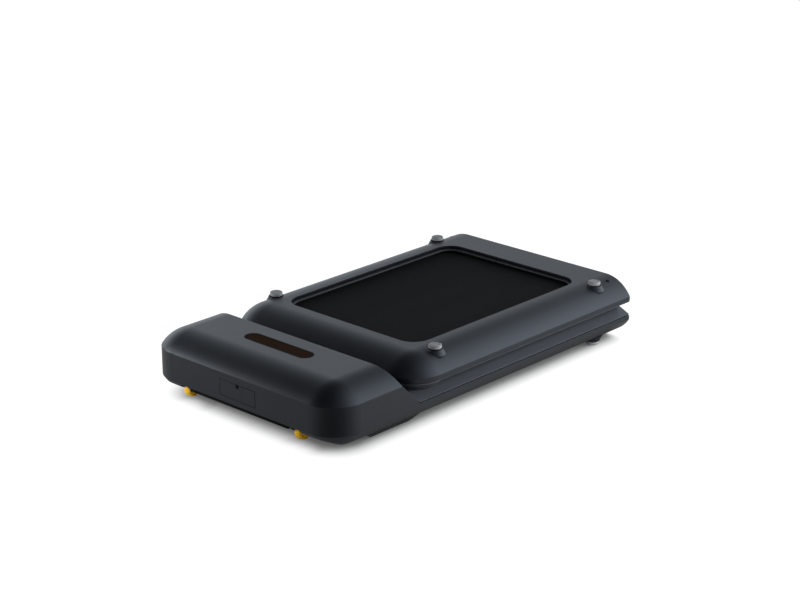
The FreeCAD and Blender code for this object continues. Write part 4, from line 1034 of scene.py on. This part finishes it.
@dataclass
class HoleShadePlugs:
    """Black plugs in the fixing holes beside the fold feet, square to the rolled casing; their black paints
    the dark shade inside the holes.
    """

    x: float = 211.7
    y: float = 391.5
    rear_level: float = 123.07
    front_level: float = 11.33
    tilt: float = 19.3
    radius: float = 4.2
    stem: float = 1.5

    def build(self, dresser: Dresser) -> None:
        """Make the four plugs.

        Args:
            dresser: finishes the pieces.
        """
        for side, label in ((-1, "left"), (1, "right")):
            self.plug(dresser, "rear_hole_shade_plug_" + label, side, self.rear_level, 1, Body.REAR)
            self.plug(dresser, "front_hole_shade_plug_" + label, side, self.front_level, -1, Body.BASE)

    def plug(self, dresser: Dresser, name: str, side: int, level: float, way: int, body: Body) -> None:
        """Make one plug with a low dome and a dimple.

        Args:
            dresser: finishes the piece.
            name: the piece's name.
            side: -1 for the left, 1 for the right.
            level: height of the hole's mouth.
            way: 1 where it faces up, -1 where it faces down.
            body: the body it rides on.
        """
        r, stem = self.radius, self.stem
        stock = Stock()
        stock.turn([(0, -2.4), (stem, -2.4), (stem, -0.15), (r, -0.15), (r, 0.2), (r - 0.3, 0.42),
                    (r * 0.5, 0.55), (r * 0.4, 0.35), (0, 0.3)], 32)
        turn = Matrix.Identity(4) if way > 0 else Matrix.Rotation(math.pi, 4, "X")
        lean = Matrix.Rotation(math.radians(self.tilt) * side * way, 4, "Y")
        stock.move(Matrix.Translation((side * self.x, self.y, level)) @ lean @ turn)
        # Painted shade: the black plug stands for the dark inside of the fixing hole.
        dresser.own(stock.piece(name), Slot.DRIVE_RUBBER, body)


@dataclass
class LensGasket:
    """Thin black gasket round the display lens, on the head cover."""

    length: float = 164.6
    width: float = 27.6
    border: float = 3.6
    centre_y: float = -328.5
    level: float = 131.7
    height: float = 0.25
    round_share: float = 0.499

    def build(self, dresser: Dresser) -> None:
        """Make the gasket as a ring cut from a rounded plate.

        Args:
            dresser: finishes the pieces.
        """
        stock = Stock()
        wide = self.width + 2 * self.border
        stock.ring(self.length + 2 * self.border, wide, self.round_share * wide, self.border, self.height)
        stock.move(Matrix.Translation((0, self.centre_y, self.level)))
        dresser.own(stock.piece("lens_gasket"), Slot.DRIVE_RUBBER, Body.BASE)


@dataclass
class EdgeShadeStrip:
    """Black rubber strip under the head's front edge, between the wheels, a dark sheet that paints the shade
    along that edge.
    """

    length: float = 262.0
    front: float = -435.5
    edge: float = 37.2
    back: float = 0.8
    depth: float = 5.0
    drop: float = 1.8
    bite: float = 2.6
    corner: float = 1.5
    easing: float = 0.7

    def build(self, dresser: Dresser) -> None:
        """Make the strip with an eased lower edge.

        Args:
            dresser: finishes the piece.
        """
        stock = Stock()
        stock.raise_faces(stock.plate(self.length, self.depth, self.corner, 4), self.drop + self.bite)
        stock.tidy()
        stock.ease(self.easing, 3, lambda e: all(abs(v.co.z) < 1e-3 for v in e.verts))
        stock.move(Matrix.Translation((0, self.front + self.back + self.depth / 2, self.edge - self.drop)))
        # Painted shade: a dark strip that stands for the shade along the head's front bottom edge.
        dresser.own(stock.piece("painted_shade_strip_1"), Slot.DRIVE_RUBBER, Body.BASE)


# Studio

def toward(angle: float, rise: float) -> Vector:
    """Direction of a compass angle, counted from the head's front, and a height angle.

    Args:
        angle: degrees round the object.
        rise: degrees above the floor.

    Returns:
        The direction, of length one.
    """
    turn, lift = math.radians(angle), math.radians(rise)
    return Vector((math.sin(turn) * math.cos(lift), -math.cos(turn) * math.cos(lift), math.sin(lift)))


@dataclass(frozen=True)
class SoftBox:
    """Square soft lamp, placed by two angles and a distance, and shown to gloss or hidden from it."""

    name: str
    angle: float
    rise: float
    away: float
    size: float
    power: float
    shown: bool = False

    def build(self, aim: Point) -> None:
        """Make the lamp, turned to the object.

        Args:
            aim: the point it faces.
        """
        way = toward(self.angle, self.rise)
        data = bpy.data.lights.new(self.name, "AREA")
        data.shape = "SQUARE"
        data.size = self.size
        data.energy = self.power
        data.color = LAMP_COLOUR
        lamp = bpy.data.objects.new(self.name, data)
        lamp.location = Vector(aim) + self.away * way
        lamp.rotation_euler = (-way).to_track_quat("-Z", "Y").to_euler()
        lamp.visible_camera = False
        lamp.visible_glossy = self.shown
        bpy.context.scene.collection.objects.link(lamp)


SOFT_BOXES: tuple[SoftBox, ...] = (
    SoftBox("key_back_right", 135, 18, 2.6, 1.4, 60.0),
    SoftBox("left", 270, 18, 2.6, 1.4, 16.0),
    SoftBox("front_left", 329.5, 21, 1.06, 0.45, 3.4),
    SoftBox("front_low", 318, 10, 1.3, 0.35, 4.0, True),
    SoftBox("right", 86, 22, 0.87, 0.45, 2.4),
    SoftBox("right_low", 93, 1, 1.0, 0.3, 0.5),
    SoftBox("fold_corner", 129, 21.5, 1.03, 0.45, 2.0),
)


@dataclass(frozen=True)
class Glow:
    """Soft bright patch of the sweep that gloss shows, placed by its compass angle and its height angle."""

    angle: float
    rise: float
    strength: float
    fade: float = 8.0

    def over(self, graph: Graph, way: bpy.types.NodeSocket) -> Value:
        """Brightness of the patch in a direction.

        Args:
            graph: the world's graph.
            way: the direction that is looked in.

        Returns:
            The brightness, which fades away from the patch's middle.
        """
        near = graph.node("VectorMath", {"operation": "DOT_PRODUCT"})
        graph.plug(near.inputs[0], way)
        graph.plug(near.inputs[1], toward(self.angle, self.rise))
        return graph.math("MAXIMUM", Value(graph, near.outputs["Value"]), 0.0) ** self.fade * self.strength


GLOWS: tuple[Glow, ...] = (
    Glow(270, 4, 1.55, 16.0),
    Glow(240, 10, 1.35),
    Glow(180, 8, 1.4),
    Glow(150, 8, 1.4),
    Glow(120, 8, 1.4),
    Glow(150, 40, 0.6),
    Glow(120, 40, 1.4),
    Glow(330, 4, 0.75, 16.0),
    Glow(45, 22, 0.35),
)


@dataclass
class Studio:
    """White sweep, soft lamps and the camera of the photograph, in metres."""

    eye: Point = (2.5687, -2.7676, 1.5030)
    aim: Point = (-0.0180, 0.0206, 0.1239)
    lens: float = 92.15
    middle: Point = (0.0, 0.05, 0.07)
    floor_half: float = 9.0
    floor_glow: float = 0.985
    floor_matte: float = 0.14
    floor_bounce: float = 0.82
    # shade, shade_fall, shade_most and shade_reach set a painted contact shadow in the floor's glow.
    shade: float = 1.6
    shade_fall: float = 3.1
    shade_most: float = 0.92
    shade_reach: float = 0.045
    near: float = 0.72
    far: float = 1.25
    gloss_near: float = 0.48
    gloss_far: float = 0.70
    # Painted brighter strip on the floor's right side, seen only in reflections.
    painted_right_lift: float = 0.45
    painted_right_span: tuple[float, float] = (0.22, 0.38)
    # Painted shade in what gloss sees of the floor: a contact shadow by ambient occlusion and a dark patch by
    # the near front corner.
    gloss_shade: float = 0.95
    painted_dark_patch: tuple[float, float] = (0.42, -0.60)
    painted_dark_inner: float = 0.12
    painted_dark_outer: float = 0.32
    painted_dark_share: float = 0.95
    cool: Colour = (0.86, 0.93, 1.0)

    def build(self) -> None:
        """Make the camera, the world, the floor and the lamps."""
        self.camera()
        self.world()
        self.floor()
        for box in SOFT_BOXES:
            box.build(self.middle)

    def camera(self) -> None:
        """Camera fitted to the photograph."""
        data = bpy.data.cameras.new("camera")
        data.lens = self.lens
        data.sensor_width = 36.0
        camera = bpy.data.objects.new("camera", data)
        camera.location = self.eye
        camera.rotation_euler = (Vector(self.aim) - Vector(self.eye)).to_track_quat("-Z", "Y").to_euler()
        bpy.context.scene.collection.objects.link(camera)
        bpy.context.scene.camera = camera

    def world(self) -> None:
        """White to the camera, and a sweep of soft glows to gloss."""
        world = bpy.data.worlds.new("sweep")
        world.use_nodes = True
        bpy.context.scene.world = world
        graph = Graph(world.node_tree)
        seen, glossy = self.rays(graph)
        way = graph.node("TexCoord").outputs["Generated"]
        sweep = GLOWS[0].over(graph, way)
        for glow in GLOWS[1:]:
            sweep = sweep + glow.over(graph, way)
        colour = graph.mix(glossy, WHITE, self.cool)
        back = graph.node("Background", None, Color=colour, Strength=seen + glossy * sweep)
        world.cycles.sampling_method = "NONE"
        output = graph.node("OutputWorld")
        graph.tree.links.new(back.outputs[0], output.inputs[0])

    @staticmethod
    def rays(graph: Graph) -> tuple[Value, Value]:
        """Light path masks.

        Args:
            graph: the graph that reads them.

        Returns:
            One for camera and transmission rays, and one for glossy rays.
        """
        path = graph.node("LightPath").outputs
        camera, through = Value(graph, path["Is Camera Ray"]), Value(graph, path["Is Transmission Ray"])
        return graph.math("MAXIMUM", camera, through), Value(graph, path["Is Glossy Ray"])

    @staticmethod
    def join(graph: Graph, made: bpy.types.Node, first: bpy.types.Node,
             second: bpy.types.Node) -> bpy.types.Node:
        """Feed two shaders into an Add or Mix Shader.

        Args:
            graph: the material's graph.
            made: the Add or Mix Shader.
            first: shader for its first socket.
            second: shader for its second socket.

        Returns:
            The Add or Mix Shader.
        """
        sockets = [s for s in made.inputs if s.type == "SHADER"]
        graph.tree.links.new(first.outputs[0], sockets[0])
        graph.tree.links.new(second.outputs[0], sockets[1])
        return made

    @staticmethod
    def closed(graph: Graph, reach: float) -> Value:
        """Share of the sky that the object hides from the floor within a reach."""
        made = graph.node("AmbientOcclusion", {"samples": 24}, Distance=reach)
        return 1 - Value(graph, made.outputs["AO"])

    def floor(self) -> None:
        """White floor with the object's soft shadow, mostly painted into its glow by ambient occlusion and
        partly cast by the lamps.
        """
        stock = Stock()
        bmesh.ops.create_grid(stock.mesh, x_segments=1, y_segments=1, size=self.floor_half / MM)
        floor = stock.piece("floor")
        material = bpy.data.materials.new("floor")
        material.use_nodes = True
        graph = Graph(material.node_tree)
        seen, glossy = self.rays(graph)
        _, x, y, _ = graph.place()
        away = graph.step(graph.math("SQRT", x ** 2.0 + y ** 2.0), self.near, self.far)
        closed = self.closed(graph, self.shade_reach)
        # Painted shadow: the glow that the camera sees darkens where the object hides the floor's sky, by
        # ambient occlusion.
        glow_with_painted_shadow = 1 - graph.math("MINIMUM", closed ** self.shade_fall * self.shade, self.shade_most)
        glow_with_painted_shadow = glow_with_painted_shadow * (away * (1 - self.floor_glow) + self.floor_glow)
        # Painted shade and light in the floor's glow to gloss: a dark patch, a contact shadow by ambient
        # occlusion and a brighter strip on the right.
        from_painted_patch = graph.math("SQRT", (x - self.painted_dark_patch[0]) ** 2.0 + (y - self.painted_dark_patch[1]) ** 2.0)
        dark = graph.step(from_painted_patch, self.painted_dark_outer, self.painted_dark_inner) * self.painted_dark_share
        gloss_glow_with_painted_shade = (away * (self.gloss_far - self.gloss_near) + self.gloss_near) * (1 - dark)
        gloss_glow_with_painted_shade = gloss_glow_with_painted_shade * (1 - closed * self.gloss_shade)
        gloss_glow_with_painted_shade = gloss_glow_with_painted_shade * (graph.step(x, *self.painted_right_span) * self.painted_right_lift + 1)
        lit = graph.node("Emission", None, Color=WHITE, Strength=glow_with_painted_shadow)
        gloss = graph.node("Emission", None, Color=WHITE, Strength=gloss_glow_with_painted_shade)
        pale = graph.node("BsdfDiffuse", None, Color=(self.floor_matte,) * 3)
        matte = graph.node("BsdfDiffuse", None, Color=(self.floor_bounce,) * 3)
        to_eye = self.join(graph, graph.node("AddShader"), lit, pale)
        to_object = self.join(graph, graph.node("MixShader", None, Fac=glossy), matte, gloss)
        both = self.join(graph, graph.node("MixShader", None, Fac=seen), to_object, to_eye)
        output = graph.node("OutputMaterial")
        graph.tree.links.new(both.outputs[0], output.inputs[0])
        floor.data.materials.append(material)


def main() -> None:
    """Dress the frame, add the pieces and light it."""
    logging.basicConfig(level=logging.INFO, format="%(name)s: %(message)s")
    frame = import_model()
    bpy.context.scene.view_settings.view_transform = "Standard"
    dresser = Dresser(frame)
    dresser.nodes()
    for assembly in (RubberFeet(), TransportWheels(), WindowLips(), BeltBends(), HoleShadePlugs(), LensGasket(),
                     EdgeShadeStrip()):
        assembly.build(dresser)
    Studio().build()


if __name__ == "__main__":
    main()
